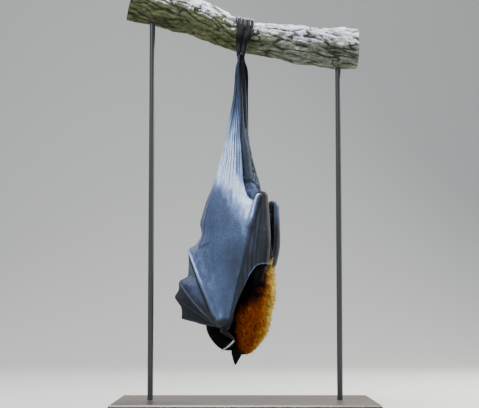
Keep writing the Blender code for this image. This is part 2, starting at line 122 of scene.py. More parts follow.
# %% Node helpers
class Finish:
    """A material under construction."""

    def __init__(self, name, roughness=0.5, **inputs):
        self.material = bpy.data.materials.new(name)
        self.material.use_nodes = True
        self.tree = self.material.node_tree
        self.shader = self.tree.nodes["Principled BSDF"]
        self.place = self.add("ShaderNodeTexCoord").outputs["Object"]
        self.shader.inputs["Roughness"].default_value = roughness
        for key, value in inputs.items():
            self.shader.inputs[key.replace("_", " ")].default_value = value

    def add(self, kind, **settings):
        """A new node; each setting goes to the input of that name, or else to the node itself."""
        node = self.tree.nodes.new(kind)
        for key, value in settings.items():
            if key in node.inputs:
                self.set(node.inputs[key], value)
            else:
                setattr(node, key, value)
        return node

    def set(self, socket, value):
        """Link a socket to another, or give it a value."""
        if isinstance(value, bpy.types.NodeSocket):
            self.tree.links.new(value, socket)
        else:
            socket.default_value = value

    def stretch(self, scale):
        """Object coordinates scaled along each axis."""
        node = self.add("ShaderNodeMapping")
        self.set(node.inputs["Vector"], self.place)
        node.inputs["Scale"].default_value = scale
        return node.outputs["Vector"]

    def noise(self, scale, detail=4.0, roughness=0.6, vector=None):
        """Cloudy grey noise."""
        node = self.add("ShaderNodeTexNoise", Scale=scale, Detail=detail, Roughness=roughness)
        self.set(node.inputs["Vector"], vector or self.place)
        return node.outputs["Fac"]

    def cells(self, scale, stretch):
        """Distance from the middles of small cells, like pebbled leather."""
        node = self.add("ShaderNodeTexVoronoi", Scale=scale)
        self.set(node.inputs["Vector"], self.stretch(stretch))
        return node.outputs["Distance"]

    def ramp(self, value, *stops):
        """Colours or greys at positions along 0 to 1."""
        node = self.add("ShaderNodeValToRGB")
        self.set(node.inputs["Fac"], value)
        band = node.color_ramp
        while len(band.elements) < len(stops):
            band.elements.new(0.5)
        for element, (position, colour) in zip(band.elements, stops):
            element.position = position
            element.color = (*colour, 1) if isinstance(colour, tuple) else (colour, colour, colour, 1)
        return node.outputs["Color"]

    def mix(self, factor, a, b):
        """Colour a where factor is 0, b where it is 1."""
        node = self.add("ShaderNodeMix", data_type="RGBA")
        for socket, value in zip((node.inputs[0], node.inputs[6], node.inputs[7]), (factor, a, b)):
            self.set(socket, (*value, 1) if isinstance(value, tuple) else value)
        return node.outputs[2]

    def blend(self, value, low, high, share, under, over):
        """Lay over on under: none of it where value is low, and this share where value is high."""
        return self.mix(self.ramp(value, (low, 0.0), (high, share)), under, over)

    def math(self, kind, a, b):
        node = self.add("ShaderNodeMath", operation=kind)
        self.set(node.inputs[0], a)
        self.set(node.inputs[1], b)
        return node.outputs[0]

    def painted(self, name, output="Fac"):
        """What is painted on the mesh under this name."""
        return self.add("ShaderNodeAttribute", attribute_name=name).outputs[output]

    def bump(self, height, distance, strength=1.0, below=None):
        """A bumpy normal, over the one below if that is given."""
        node = self.add("ShaderNodeBump", Distance=distance, Strength=strength)
        self.set(node.inputs["Height"], height)
        if below is not None:
            self.set(node.inputs["Normal"], below)
        return node.outputs["Normal"]

    def done(self, colour, normal=None, roughness=None):
        """Link the results to the shader and give back the material."""
        self.set(self.shader.inputs["Base Color"], (*colour, 1) if isinstance(colour, tuple) else colour)
        if normal is not None:
            self.set(self.shader.inputs["Normal"], normal)
        if roughness is not None:
            self.set(self.shader.inputs["Roughness"], roughness)
        return self.material


# %% [markdown]
# The wing skin is slate grey, finely wrinkled along the body, and shines where light glances off it. Its
# tone is painted on the mesh with light and shade in it: painted shade darkens the hand, a painted sheen
# makes the upper cone pale, and the blue of its pale tones is partly a painted sky reflection.


# %% Skin and membrane finishes
def membrane_finish():
    """Wing skin: painted tone with painted light and shade in it, then dust, specks, flecks and painted
    glints, over fine wrinkles.
    """
    f = Finish("wing_membrane", Specular_IOR_Level=0.19)
    tone = f.painted("tone")
    mottle = f.noise(110, 6, 0.65, f.stretch((1, 1, 0.45)))
    speck = f.noise(900, 3, 0.7)
    # the upper stops give the painted sheen, and their blue is partly a painted sky reflection
    pale = f.ramp(tone, (0.0, (0.004, 0.005, 0.006)), (0.35, (0.014, 0.015, 0.019)),
                  (0.68, (0.043, 0.070, 0.155)), (0.84, (0.175, 0.26, 0.49)), (1.0, (0.64, 0.77, 1.0)))
    dusty = f.mix(f.ramp(tone, (0.25, 0.02), (0.6, 0.16)), pale, (0.08, 0.10, 0.15))
    worn = f.blend(mottle, 0.35, 0.7, 1.0, pale, dusty)
    colour = f.blend(speck, 0.42, 0.72, 0.60, worn, (0.02, 0.022, 0.03))
    fleck = f.noise(360, 5, 0.75, f.stretch((1, 1, 0.7)))
    colour = f.blend(fleck, 0.46, 0.68, 0.36, colour, (0.018, 0.022, 0.034))
    # painted glints, only where the painted sheen is
    glint = f.math("MULTIPLY", f.ramp(f.noise(640, 6, 0.8), (0.48, 0.0), (0.78, 0.42)),
                   f.ramp(tone, (0.45, 0.0), (0.78, 1.0)))
    colour = f.mix(glint, colour, (0.46, 0.55, 0.72))
    wrinkle = f.noise(620, 5, 0.65, f.stretch((1, 1, 0.3)))
    grain = f.cells(1100.0, (1, 1, 0.5))
    normal = f.bump(grain, 0.0003, 0.5, f.bump(wrinkle, 0.0009, 0.55))
    rough = f.math("ADD", f.ramp(tone, (0.1, 0.85), (0.5, 0.50), (1.0, 0.38)),
                   f.ramp(mottle, (0.3, 0.0), (0.7, 0.10)))
    return f.done(colour, normal, rough)


def bare_skin_finish(name, dark, light, gloss=0.45):
    """Naked skin that drifts between two colours; gloss is its usual roughness."""
    f = Finish(name, Specular_IOR_Level=0.10)
    cloud = f.noise(120, 5, 0.6)
    colour = f.blend(cloud, 0.35, 0.7, 1.0, dark, light)
    normal = f.bump(f.cells(1500.0, (1, 1, 0.6)), 0.0003, 0.4)
    normal = f.bump(f.noise(500, 4, 0.6, f.stretch((1, 1, 0.4))), 0.0006, 0.4, normal)
    return f.done(colour, normal, f.ramp(cloud, (0.3, gloss - 0.08), (0.7, gloss + 0.12)))


def fur_finish(name, roughness):
    """Hair or haired skin, coloured by what is painted on the mesh."""
    f = Finish(name, roughness, Specular_IOR_Level=0.10)
    strand = f.noise(1500, 3, 0.7, f.stretch((1, 1, 0.2)))
    colour = f.mix(f.ramp(strand, (0.3, 0.35), (0.7, 0.0)), f.painted("coat", "Color"), (0.0, 0.0, 0.0))
    return f.done(colour, f.bump(strand, 0.0004, 0.4))


def claw_finish(name, dark, light):
    """Polished horn."""
    f = Finish(name, 0.26, Specular_IOR_Level=0.5, Coat_Weight=0.3, Coat_Roughness=0.12)
    horn = f.ramp(f.noise(260, 4, 0.6), (0.3, dark), (0.7, light))
    return f.done(horn, f.bump(f.noise(800, 2), 0.0002, 0.3))


def eye_finish():
    """A wet eye: pupil, iris and dark rim by angle from the gaze."""
    f = Finish("eye", 0.04, Specular_IOR_Level=0.7, Coat_Weight=1.0, Coat_Roughness=0.02)
    return f.done(f.ramp(f.painted("iris"), (0.30, (0.002, 0.002, 0.002)), (0.36, (0.10, 0.032, 0.008)),
                         (0.80, (0.20, 0.07, 0.015)), (0.92, (0.02, 0.008, 0.004))))


# %% [markdown]
# Bark is fissured along the branch. Its upper side carries a crust of pale grey lichen and its underside
# stays olive brown, so the finish mixes the two by a painted height and by noise.


# %% Wood, bark and metal finishes
def bark_finish():
    """Bark, greyer towards the low end, under lichen where "crust" and noise allow it."""
    f = Finish("bark", 0.88, Specular_IOR_Level=0.25)
    crust = f.painted("crust")
    fissure = f.painted("fissure")
    grain = f.noise(230, 6, 0.7, f.stretch((0.35, 1, 1)))
    bare = f.ramp(grain, (0.3, (0.022, 0.023, 0.009)), (0.52, (0.085, 0.094, 0.036)),
                  (0.72, (0.20, 0.215, 0.12)))
    grey = f.ramp(grain, (0.3, (0.045, 0.050, 0.036)), (0.52, (0.16, 0.18, 0.14)),
                  (0.72, (0.34, 0.37, 0.33)))
    axes = f.add("ShaderNodeSeparateXYZ")
    f.set(axes.inputs[0], f.place)
    far = f.ramp(f.math("ADD", axes.outputs[0], 0.5), (0.49, 0.0), (0.57, 0.8))      # weathered lower end
    bare = f.mix(far, bare, grey)
    lichen = f.ramp(f.noise(340, 5, 0.7), (0.3, (0.30, 0.32, 0.33)), (0.55, (0.62, 0.61, 0.68)),
                    (0.75, (0.86, 0.83, 0.90)))
    patch = f.math("ADD", crust, f.math("MULTIPLY", f.math("SUBTRACT", f.noise(95, 6, 0.75), 0.5), 1.5))
    patch = f.math("ADD", patch, f.math("MULTIPLY", far, 0.07))
    colour = f.blend(patch, 0.46, 0.58, 1.0, bare, lichen)
    colour = f.blend(fissure, 0.15, 0.9, 0.9, colour, (0.012, 0.011, 0.006))
    normal = f.bump(f.noise(420, 6, 0.75, f.stretch((0.5, 1, 1))), 0.0016, 0.9)
    return f.done(colour, normal)


def cut_wood_finish():
    """Weathered end grain; "ring" is painted as the share of the way out from the pith."""
    f = Finish("cut_wood", 0.8, Specular_IOR_Level=0.2)
    share = f.painted("ring")
    wander = f.math("MULTIPLY", f.noise(60, 3, 0.5), 16.0)
    ring = f.math("SINE", f.math("ADD", f.math("MULTIPLY", share, 95.0), wander), 0.0)
    wood = f.ramp(f.noise(240, 5, 0.7), (0.3, (0.036, 0.029, 0.021)), (0.7, (0.088, 0.072, 0.053)))
    wood = f.blend(ring, 0.55, 0.98, 0.6, wood, (0.028, 0.020, 0.013))
    wood = f.mix(f.ramp(share, (0.15, 0.55), (0.5, 0.0)), wood, (0.052, 0.032, 0.019))
    wood = f.blend(f.painted("fissure"), 0.3, 0.8, 0.95, wood, (0.02, 0.014, 0.009))
    return f.done(wood, f.bump(ring, 0.0002, 0.25, f.bump(f.noise(700, 4), 0.0005, 0.6)))


def stand_wood_finish():
    """Dark stained wood with its grain along X."""
    f = Finish("stand_wood", 0.38, Coat_Weight=0.25, Coat_Roughness=0.3)
    grain = f.noise(16, 6, 0.6, f.stretch((0.5, 7, 7)))
    pore = f.noise(120, 3, 0.7, f.stretch((0.3, 8, 8)))
    colour = f.ramp(grain, (0.35, (0.022, 0.014, 0.010)), (0.65, (0.060, 0.038, 0.026)))
    colour = f.blend(pore, 0.55, 0.7, 0.6, colour, (0.010, 0.007, 0.005))
    return f.done(colour, f.bump(pore, 0.0003, 0.4), f.ramp(grain, (0.3, 0.33), (0.7, 0.46)))


def rod_finish():
    """Black satin paint on metal."""
    f = Finish("stand_metal", 0.42)
    texture = f.noise(1400, 2)
    return f.done(f.ramp(texture, (0.3, (0.022, 0.022, 0.024)), (0.7, (0.034, 0.034, 0.037))),
                  f.bump(texture, 0.0001, 0.5), f.ramp(texture, (0.3, 0.36), (0.7, 0.5)))


MEMBRANE = membrane_finish()
ARM_SKIN = bare_skin_finish("arm_skin", (0.009, 0.009, 0.010), (0.022, 0.023, 0.026))
FOOT_SKIN = bare_skin_finish("foot_skin", (0.003, 0.003, 0.004), (0.010, 0.011, 0.014), 0.6)
EAR_SKIN = bare_skin_finish("ear_skin", (0.003, 0.003, 0.003), (0.009, 0.009, 0.008), 0.7)
HAIR = fur_finish("hair", 0.62)
HAIRED_SKIN = fur_finish("haired_skin", 0.85)
CLAW = claw_finish("claw", (0.10, 0.10, 0.105), (0.32, 0.32, 0.33))
# the thumb claws are the same horn as the foot claws, drawn paler as a painted highlight
HIGHLIT_THUMB_CLAW = claw_finish("thumb_claw_highlit", (0.20, 0.195, 0.20), (0.38, 0.37, 0.38))
EYE = eye_finish()
BARK = bark_finish()
CUT_WOOD = cut_wood_finish()
STAND_WOOD = stand_wood_finish()
ROD_PAINT = rod_finish()
FLOOR = Finish("floor", 0.8, Specular_IOR_Level=0.2).done((0.34, 0.345, 0.34))

# %% [markdown]
# ## Tools for shapes
# Most pieces are grids of points: rings along a limb, or rows across a wing. numpy works out all the points
# at once, and a few helpers turn them into closed meshes.


# %% Curves and noise
def curve(table, x):
    """Rows of (x, value, value...) read at many x, on a smooth curve through the rows."""
    rows = np.array(sorted(table), float)
    x = np.clip(np.atleast_1d(np.asarray(x, float)), rows[0, 0], rows[-1, 0])
    i = np.clip(np.searchsorted(rows[:, 0], x, side="right") - 1, 0, len(rows) - 2)
    a, b = rows[np.maximum(i - 1, 0)], rows[i]
    c, d = rows[i + 1], rows[np.minimum(i + 2, len(rows) - 1)]
    h = (c - b)[:, :1]
    t = (x[:, None] - b[:, :1]) / h
    slope_b = (c - a)[:, 1:] / (c - a)[:, :1] * h
    slope_c = (d - b)[:, 1:] / (d - b)[:, :1] * h
    return ((2 * t**3 - 3 * t**2 + 1) * b[:, 1:] + (t**3 - 2 * t**2 + t) * slope_b
            + (3 * t**2 - 2 * t**3) * c[:, 1:] + (t**3 - t**2) * slope_c)


def step(low, high, x):
    """0 before low, 1 past high, smooth between; low may be above high."""
    t = np.clip((np.asarray(x, float) - low) / (high - low), 0, 1)
    return t * t * (3 - 2 * t)


def blend(a, b, share):
    """a where share is 0 and b where it is 1."""
    return a + (b - a) * share


def hump(x, width):
    """1 at x = 0, falling smoothly to a third at width to either side."""
    return np.exp(-((x / width) ** 2))


def ridged(wave, sharpness):
    """A wave of -1 to 1 with its ridges made broad and its furrows narrow."""
    return 1 - 2 * np.exp(-sharpness * (1 + wave))


def round_angles(count):
    """Angles evenly spaced round a circle."""
    return np.linspace(0, 2 * np.pi, count, endpoint=False)


HASH_FACTORS = (73856093, 19349663, 83492791, 2654435, 1274126177)
HASH_TOP = 0x7FFFFFFF


def value_noise(points, size, seed=0):
    """Smooth noise from -1 to 1 at points, with lumps about size across."""
    p = np.asarray(points, float) / size + 1000.0 + seed * 17.3
    cell = np.floor(p).astype(np.int64)
    f = p - cell
    f = f * f * (3 - 2 * f)
    total = np.zeros(p.shape[:-1])
    for corner in range(8):
        o = np.array([corner & 1, corner >> 1 & 1, corner >> 2 & 1])
        q = cell + o
        x, y, z = (q[..., k] * HASH_FACTORS[k] for k in range(3))
        mixed = x ^ y ^ z ^ (seed * HASH_FACTORS[3])
        mixed = (mixed ^ (mixed >> 13)) * HASH_FACTORS[4] & HASH_TOP
        weight = np.prod(np.where(o, f, 1 - f), axis=-1)
        total += weight * (mixed / HASH_TOP * 2 - 1)
    return total


def octaves(points, size, count, seed):
    """Several sizes of noise added up, each half the one before."""
    return sum(0.5**k * value_noise(points, size / 2**k, seed + k) for k in range(count))


def unit(v):
    """Vectors made one long."""
    return v / np.maximum(np.linalg.norm(v, axis=-1, keepdims=True), 1e-9)


# %% Meshes from points
COS, SIN = math.cos(TURN), math.sin(TURN)
BAT_TURN = np.array([[COS, -SIN, 0], [SIN, COS, 0], [0, 0, 1]])


def bat_to_world(points):
    """Bat frame in millimetres to the model's frame in metres."""
    return np.asarray(points, float) * MM @ BAT_TURN.T + GRIP - np.array([0, STANDOFF, 0])


def branch_to_world(points):
    """Millimetres about the grip, along the model's own axes, to metres."""
    return np.asarray(points, float) * MM + GRIP


def mesh_piece(name, points, faces, finish, world=bat_to_world):
    """An object at the origin from points and a list of face arrays, all in one mesh."""
    mesh = bpy.data.meshes.new(name)
    points = world(np.asarray(points).reshape(-1, 3))
    sizes = np.concatenate([np.full(len(f), f.shape[1]) for f in faces])
    loops = np.concatenate([f.reshape(-1) for f in faces])
    mesh.vertices.add(len(points))
    mesh.vertices.foreach_set("co", points.astype(np.float32).reshape(-1))
    mesh.loops.add(len(loops))
    mesh.loops.foreach_set("vertex_index", loops.astype(np.int32))
    mesh.polygons.add(len(sizes))
    mesh.polygons.foreach_set("loop_start", np.concatenate([[0], np.cumsum(sizes)[:-1]]).astype(np.int32))
    mesh.polygons.foreach_set("use_smooth", np.ones(len(sizes), bool))
    mesh.update(calc_edges=True)
    mesh.materials.append(finish)
    return add_object(name, mesh)


def grid_faces(rows, columns, wrap=False, start=0):
    """Four-sided faces of a grid of points; wrap joins the last column to the first."""
    index = np.arange(rows * columns).reshape(rows, columns) + start
    right = np.roll(index, -1, axis=1)
    if not wrap:
        index, right = index[:, :-1], right[:, :-1]
    return np.stack([index[:-1], right[:-1], right[1:], index[1:]], axis=-1).reshape(-1, 4)


def tube_points(path, radius, sides):
    """Rings round a path, with the radius given at each point."""
    path = np.asarray(path, float)
    radius = np.broadcast_to(radius, len(path))
    along = unit(np.gradient(path, axis=0))
    side = unit(np.cross(along[0], [0.3, 0.5, 0.81]))
    rings = []
    for p, d, r in zip(path, along, radius):
        side = unit(side - d * np.dot(side, d))
        across = np.cross(d, side)
        a = round_angles(sides)[:, None]
        rings.append(p + r * (side * np.cos(a) + across * np.sin(a)))
    return np.array(rings)


def round_ended(path, radius, rounds=4):
    """A path and its radii with half-round ends added."""
    path, radius = np.asarray(path, float), np.array(np.broadcast_to(radius, len(path)), float)
    ends = np.sin(np.linspace(0.06, 1, rounds, endpoint=False) * np.pi / 2)
    head = path[0] - unit(path[1] - path[0]) * (radius[0] * np.sqrt(1 - ends**2))[:, None]
    tail = path[-1] + unit(path[-1] - path[-2]) * (radius[-1] * np.sqrt(1 - ends**2))[::-1, None]
    return np.vstack([head, path, tail]), np.concatenate([radius[0] * ends, radius, radius[-1] * ends[::-1]])


def closed_rings(rings, start=0):
    """Faces of a closed skin over rings: the sides, and a fan of one face at each end."""
    count, sides = rings.shape[:2]
    first = np.arange(sides)[None, ::-1] + start
    last = np.arange(sides)[None, :] + start + (count - 1) * sides
    return [grid_faces(count, sides, wrap=True, start=start), first, last]


def make_outward(piece):
    """Recalculate the normals of a closed mesh so that its faces point out."""
    work = bmesh.new()
    work.from_mesh(piece.data)
    bmesh.ops.recalc_face_normals(work, faces=work.faces)
    work.to_mesh(piece.data)
    work.free()
    return piece


def joined_rings(name, parts, finish, world=bat_to_world):
    """One piece from several closed skins, each an array of rings."""
    points, faces, start = [], [], 0
    for rings in parts:
        points.append(rings.reshape(-1, 3))
        faces += closed_rings(rings, start)
        start += len(points[-1])
    return make_outward(mesh_piece(name, np.vstack(points), faces, finish, world))


def joined_tubes(name, tubes, finish, sides=12, world=bat_to_world):
    """One piece from several tubes, each a (path, radii) pair."""
    return joined_rings(name, [tube_points(*round_ended(*tube), sides) for tube in tubes], finish, world)


def sheet_normals(grid):
    """Directions out of a grid of points."""
    return unit(np.cross(np.gradient(grid, axis=1), np.gradient(grid, axis=0)))


def thick_sheet(name, grid, half, finish):
    """A closed sheet of given half thickness about a grid of points."""
    rows, columns = grid.shape[:2]
    normal = sheet_normals(grid)
    half = np.broadcast_to(half, (rows, columns))[..., None]
    points = np.concatenate([grid + normal * half, grid - normal * half])
    count = rows * columns
    front = grid_faces(rows, columns)
    index = np.arange(count).reshape(rows, columns)
    edge = np.concatenate([index[0, :-1], index[:-1, -1], index[-1, :0:-1], index[:0:-1, 0]])
    after = np.roll(edge, -1)
    rim = np.stack([edge, after, after + count, edge + count], axis=1)
    return make_outward(mesh_piece(name, points, [front, front[:, ::-1] + count, rim], finish))


def paint(piece, name, values, colour=False):
    """Store one number or colour for each vertex."""
    kind = "FLOAT_COLOR" if colour else "FLOAT"
    layer = piece.data.attributes.new(name, kind, "POINT")
    if colour:
        rgba = np.ones((len(values), 4), np.float32)
        rgba[:, :3] = values
        layer.data.foreach_set("color", rgba.reshape(-1))
    else:
        layer.data.foreach_set("value", np.asarray(values, np.float32).reshape(-1))


def put(piece, slot, *replaced):
    """Fix a finished piece to the model's one body and hide the solids it stands for; slot is not used."""
    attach(piece, "root")
    if replaced:
        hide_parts(*replaced)


# %% Floor that sweeps up into a backdrop
FLOOR_REACH = 6                                 # metres from the stand to the floor's edges
SWEEP_START, SWEEP_RADIUS = 1.6, 1.2            # where the floor starts to bend up, and how gently
WALL_TOP = 5
FLOOR_COLUMNS = 9

profile = [(y, 0) for y in np.linspace(-FLOOR_REACH, SWEEP_START, 12)]
profile += [(SWEEP_START + SWEEP_RADIUS * math.sin(bend), SWEEP_RADIUS - SWEEP_RADIUS * math.cos(bend))
            for bend in np.radians(np.linspace(0, 90, 24))]
profile += [(SWEEP_START + SWEEP_RADIUS, z) for z in np.linspace(SWEEP_RADIUS + 0.2, WALL_TOP, 8)]
sheet = np.array([[(x, y, z) for x in np.linspace(-FLOOR_REACH, FLOOR_REACH, FLOOR_COLUMNS)]
                  for y, z in profile])
backdrop = mesh_piece("backdrop", sheet, [grid_faces(len(profile), FLOOR_COLUMNS)], FLOOR, np.asarray)


# %% [markdown]
# ## The body's measurements
# These tables repeat the solids' sections: how deep and wide the trunk, neck and head are out to the tips
# of the fur. The skin below lies inside them by the coat's depth.

# %% Sections of the body
# height, middle, half depth, half width
TRUNK = [(-136, 4, 6, 8), (-150, 4, 9, 12), (-185, 2, 15.5, 18), (-220, -1, 22, 22), (-260, -4, 27, 26),
         (-300, -6.5, 31, 28.5), (-340, -7.5, 35, 31), (-370, -8, 34.5, 31), (-386, -6, 32.5, 30),
         (-400, -4, 31, 28.5), (-415, -4, 27.5, 26), (-428, -2, 24, 23), (-438, 0, 19, 18), (-446, 3, 10, 10),
         (-449, 5, 3, 3)]
# reach towards the nose from the braincase, shift to the crown, half height, half width
HEAD = [(-20, 0, 3, 3), (-17.5, 0, 10, 10), (-12, 0, 15.5, 16), (-2, 0, 19.5, 19.5), (10, 0.5, 19, 20),
        (22, 0, 16.5, 17.5), (34, -2, 12, 12), (46, -3.5, 9.5, 9.5), (54, -4, 8, 8.5), (59, -4.5, 4.5, 5)]
BRAINCASE = np.array([27.0, 0, -424])
FACE = unit(np.array([0.68, 0, 0.733]))         # from braincase to nose
CROWN = unit(np.array([0.733, 0, -0.68]))       # away from the throat
ELBOW, WRIST = np.array([-30.0, 31, -225]), np.array([18.0, 42, -413])
FOREARM_RADIUS = 5.5
# limbs: middle u, s and z, and radius, by side of the body
LEG = {
    1: [(-7, 13, -206, 9.5), (-3, 14, -168, 8.5), (2, 11, -128, 6.0), (5, 7, -88, 4.4), (6.8, 5.2, -52, 3.0),
        (7.9, 6.6, -27, 2.3)],
    -1: [(-7, -13, -206, 9.5), (1.5, -13, -168, 8.0), (3.5, -11, -128, 5.8), (3, -4.5, -88, 4.4),
         (1.6, 1.2, -52, 3.0), (1.6, 4.2, -27, 2.3)],
}
UPPER_ARM = {
    1: [(-35, 32, -236, 5.6), (-37, 35.5, -264, 6.8), (-37.5, 37, -300, 7.6), (-27, 29, -344, 9.5)],
    -1: [(-34, 30.5, -243, 5.2), (-33.8, 32, -268, 6.0), (-32.5, 33, -303, 6.5), (-22, 26, -344, 8.5)],
}
FOREARM = {
    1: [(-33, 31, -227, 4.2), (-31, 31.5, -233, 6.2), (-22.5, 33.5, -264, 5.6), (-8, 36.5, -316, 5.4),
        (5, 39.5, -370, 5.6), (13.5, 41.5, -406, 6.4), (18, 42, -415, 4.8)],
    -1: [(-31, 30, -235, 4.2), (-29.5, 31, -242, 6.0), (-21.5, 33.5, -268, 5.6), (-7, 36.5, -316, 5.2),
         (7, 39.5, -370, 4.8), (16, 41.5, -406, 5.4), (19, 42, -415, 4.6)],
}
ARM_TOP = {1: -227.0, -1: -235.0}               # where the elbow's dome begins
THUMB = [(14, 41.5, -409, 5.6), (15.5, 42.5, -415, 4.8), (12, 43.5, -420, 3.2), (6, 44.5, -424, 2.3),
         (3, 45, -429, 1.6), (9.5, 45, -436, 1.2), (16.5, 44.5, -440.5, 1.0), (22, 43, -444.5, 0.6)]


def limb_path(table, side=1, count=60):
    """Points and radii along a limb's table; side mirrors it."""
    stations = [(k, *row) for k, row in enumerate(table)]
    rows = curve(stations, np.linspace(0, len(table) - 1, count))
    return rows[:, :3] * [1, side, 1], rows[:, 3]


def at_height(table, z):
    """Middle and radius of a limb where it passes heights z."""
    return curve([(row[2], row[0], row[1], row[3]) for row in table], z)


# %% [markdown]
# ## Coat colours
# The coat is black-brown, with a mantle over the nape and shoulders that runs from gold down the middle of
# the back, through orange and rust, to black by the wings. One function gives the colour at any place, and
# both the skin and the tufts use it, so that markings agree.


# %% The colour of the coat
GOLD, AMBER = np.array([1.0, 0.72, 0.14]), np.array([0.80, 0.33, 0.03])
ORANGE, RUST = np.array([0.46, 0.095, 0.006]), np.array([0.085, 0.016, 0.003])
BLACK, BROWN_BLACK = np.array([0.0035, 0.003, 0.003]), np.array([0.014, 0.011, 0.009])
SLATE, BAY_BLUE = np.array([0.042, 0.052, 0.076]), np.array([0.10, 0.14, 0.26])
ANKLE_BLACK = np.array([0.010, 0.011, 0.014])
# height, and how far round from the middle of the back gold, amber, orange and rust reach, in degrees
BANDS = [(-445, 14, 52, 125, 155), (-412, 16, 44, 124, 150), (-392, 18, 38, 114, 136), (-378, 18, 33, 70, 96),
         (-366, 18, 30, 42, 56), (-350, 18, 27, 33, 40), (-335, 17, 24, 29, 35)]
MANTLE_TOP = -326.0


def slope_to_face(z):
    """The head leans forward, so the line between head and nape moves forward with height."""
    return 0.12 * (z + 430)


def mantle_share(points):
    """1 inside the mantle, 0 on the head and the rest of the body."""
    u, s, z = points.T
    ragged = 3.5 * value_noise(points, 9, 3)
    top = step(MANTLE_TOP + 4, MANTLE_TOP - 6, z + ragged - 0.10 * np.abs(s))
    front = step(16, 8, u + ragged * 0.6 + slope_to_face(z))
    return top * front


def coat_colour(points, tip=0.0):
    """Colour of the coat at places in the bat frame; tip is 0 at the skin and 1 at the hair's end."""
    u, s, z = points.T
    round_back = np.degrees(np.arctan2(np.abs(s + 2), -(u + 4)))
    round_back = round_back + 8 * value_noise(points, 6, 11) + 10 * value_noise(points, 1.3, 12)
    colour = BLACK
    for end, warmer, soft in zip(curve(BANDS, z).T[::-1], (RUST, ORANGE, AMBER, GOLD), (14, 15, 10, 9)):
        colour = blend(colour, warmer, step(end + soft, end - soft, round_back)[:, None])
    colour = colour * (1 + 0.75 * value_noise(points, 1.7, 13))[:, None].clip(0.25, 1.9)
    tip = np.broadcast_to(tip, len(points))[:, None]
    mantle = colour * (0.22 + 0.78 * tip ** 0.9)
    slate = blend(BROWN_BLACK, SLATE, step(-262, -238, z)[:, None])
    # the blue here is the wing skin's blue, partly a painted sky reflection
    bay = hump(z + 226, 14) * step(3, 11, np.abs(s))                # where the flank meets the wing's top
    slate = slate + (BAY_BLUE - slate) * 0.8 * bay[:, None]
    slate = blend(slate, ANKLE_BLACK, step(-95, -50, z)[:, None])
    body = slate * (0.7 + 0.5 * tip) + 0.025 * tip**3 * (step(-215, -200, z) * step(-120, -150, z))[:, None]
    head = BLACK * (0.7 + 0.8 * tip)
    on_head = step(2, 12, u + slope_to_face(z))[:, None] * step(-372, -384, z)[:, None]
    return blend(blend(body, head, on_head), mantle, mantle_share(points)[:, None])


# %% [markdown]
# ## One skin
# Trunk, neck, head, legs and upper arms are flesh, so they become one skin with no seam. Each starts as a
# loft inside its solid; a voxel remesh melts the lofts together, and smoothing rounds the joins.


# %% Lofts under the skin
def coat_depth(z):
    """How far the skin lies inside the solids of trunk and neck."""
    return 2.5 + 5.0 * step(-312, -340, z)


TRUNK_END = -137                                # height of the trunk's upper end
HEAD_INSET = 1.2                                # how far the skin lies inside the head's solid


def trunk_rings():
    """Rings round trunk and neck, as deep inside the solids as the coat is thick."""
    z = np.linspace(TRUNK_END, -446, 120)
    middle, depth, width = curve(TRUNK, z).T
    inset = coat_depth(z)
    a = round_angles(72)
    u = middle[:, None] + np.maximum(depth - inset, 1.5)[:, None] * np.cos(a)
    s = np.maximum(width - inset, 1.5)[:, None] * np.sin(a)
    return np.stack([u, s, np.broadcast_to(z[:, None], u.shape)], axis=-1)


def head_rings():
    """Rings round the head, from behind the braincase to the nose."""
    reach = np.linspace(-19, 58.5, 90)
    shift, height, width = curve(HEAD, reach).T
    crown_inset = HEAD_INSET + 0.8 * step(26, 0, reach)
    a = round_angles(64)
    up = np.maximum(height - crown_inset, 1)[:, None] * np.cos(a)
    out = np.maximum(width - crown_inset, 1)[:, None] * np.sin(a)
    centre = BRAINCASE + FACE * reach[:, None] + CROWN * shift[:, None]
    return centre[:, None] + CROWN * up[..., None] + np.array([0, 1, 0]) * out[..., None]


def melt(name, parts, voxel, finish, smoothing=6, world=bat_to_world):
    """Join closed shapes into one by a voxel remesh, then smooth."""
    rough = joined_rings(name + "_rough", parts, finish, world)
    remesh = rough.modifiers.new("melt", "REMESH")
    remesh.mode = "VOXEL"
    remesh.voxel_size = voxel * MM
    blur = rough.modifiers.new("blur", "SMOOTH")
    blur.factor = 0.5
    blur.iterations = smoothing
    mesh = bpy.data.meshes.new_from_object(rough.evaluated_get(bpy.context.evaluated_depsgraph_get()))
    mesh.name = name
    piece = add_object(name, mesh)
    bpy.data.objects.remove(rough)
    mesh.materials.clear()
    mesh.materials.append(finish)
    mesh.shade_smooth()
    return piece


def points_of(piece):
    """A piece's vertices in the bat frame, in millimetres."""
    co = np.empty(len(piece.data.vertices) * 3, np.float32)
    piece.data.vertices.foreach_get("co", co)
    return (co.reshape(-1, 3) - GRIP + np.array([0, STANDOFF, 0])) @ BAT_TURN / MM


def normals_of(piece):
    """A piece's normals at its vertices in the bat frame."""
    no = np.empty(len(piece.data.vertices) * 3, np.float32)
    piece.data.vertices.foreach_get("normal", no)
    return no.reshape(-1, 3) @ BAT_TURN


def move_points(piece, points):
    """Move a piece's vertices to points in the bat frame."""
    piece.data.vertices.foreach_set("co", bat_to_world(points).astype(np.float32).reshape(-1))
    piece.data.update()


# %% Eyes, lids, mouth and nostrils pressed into the skin
EYE_RADIUS = 6.0
MOUTH_CORNER, MOUTH_TIP = 24, 60                # reach from the braincase


def eye_centre(side):
    """Middle of the eyeball on one side."""
    return BRAINCASE + FACE * 23 + CROWN * 4.5 + np.array([0, side * 11.7, 0])


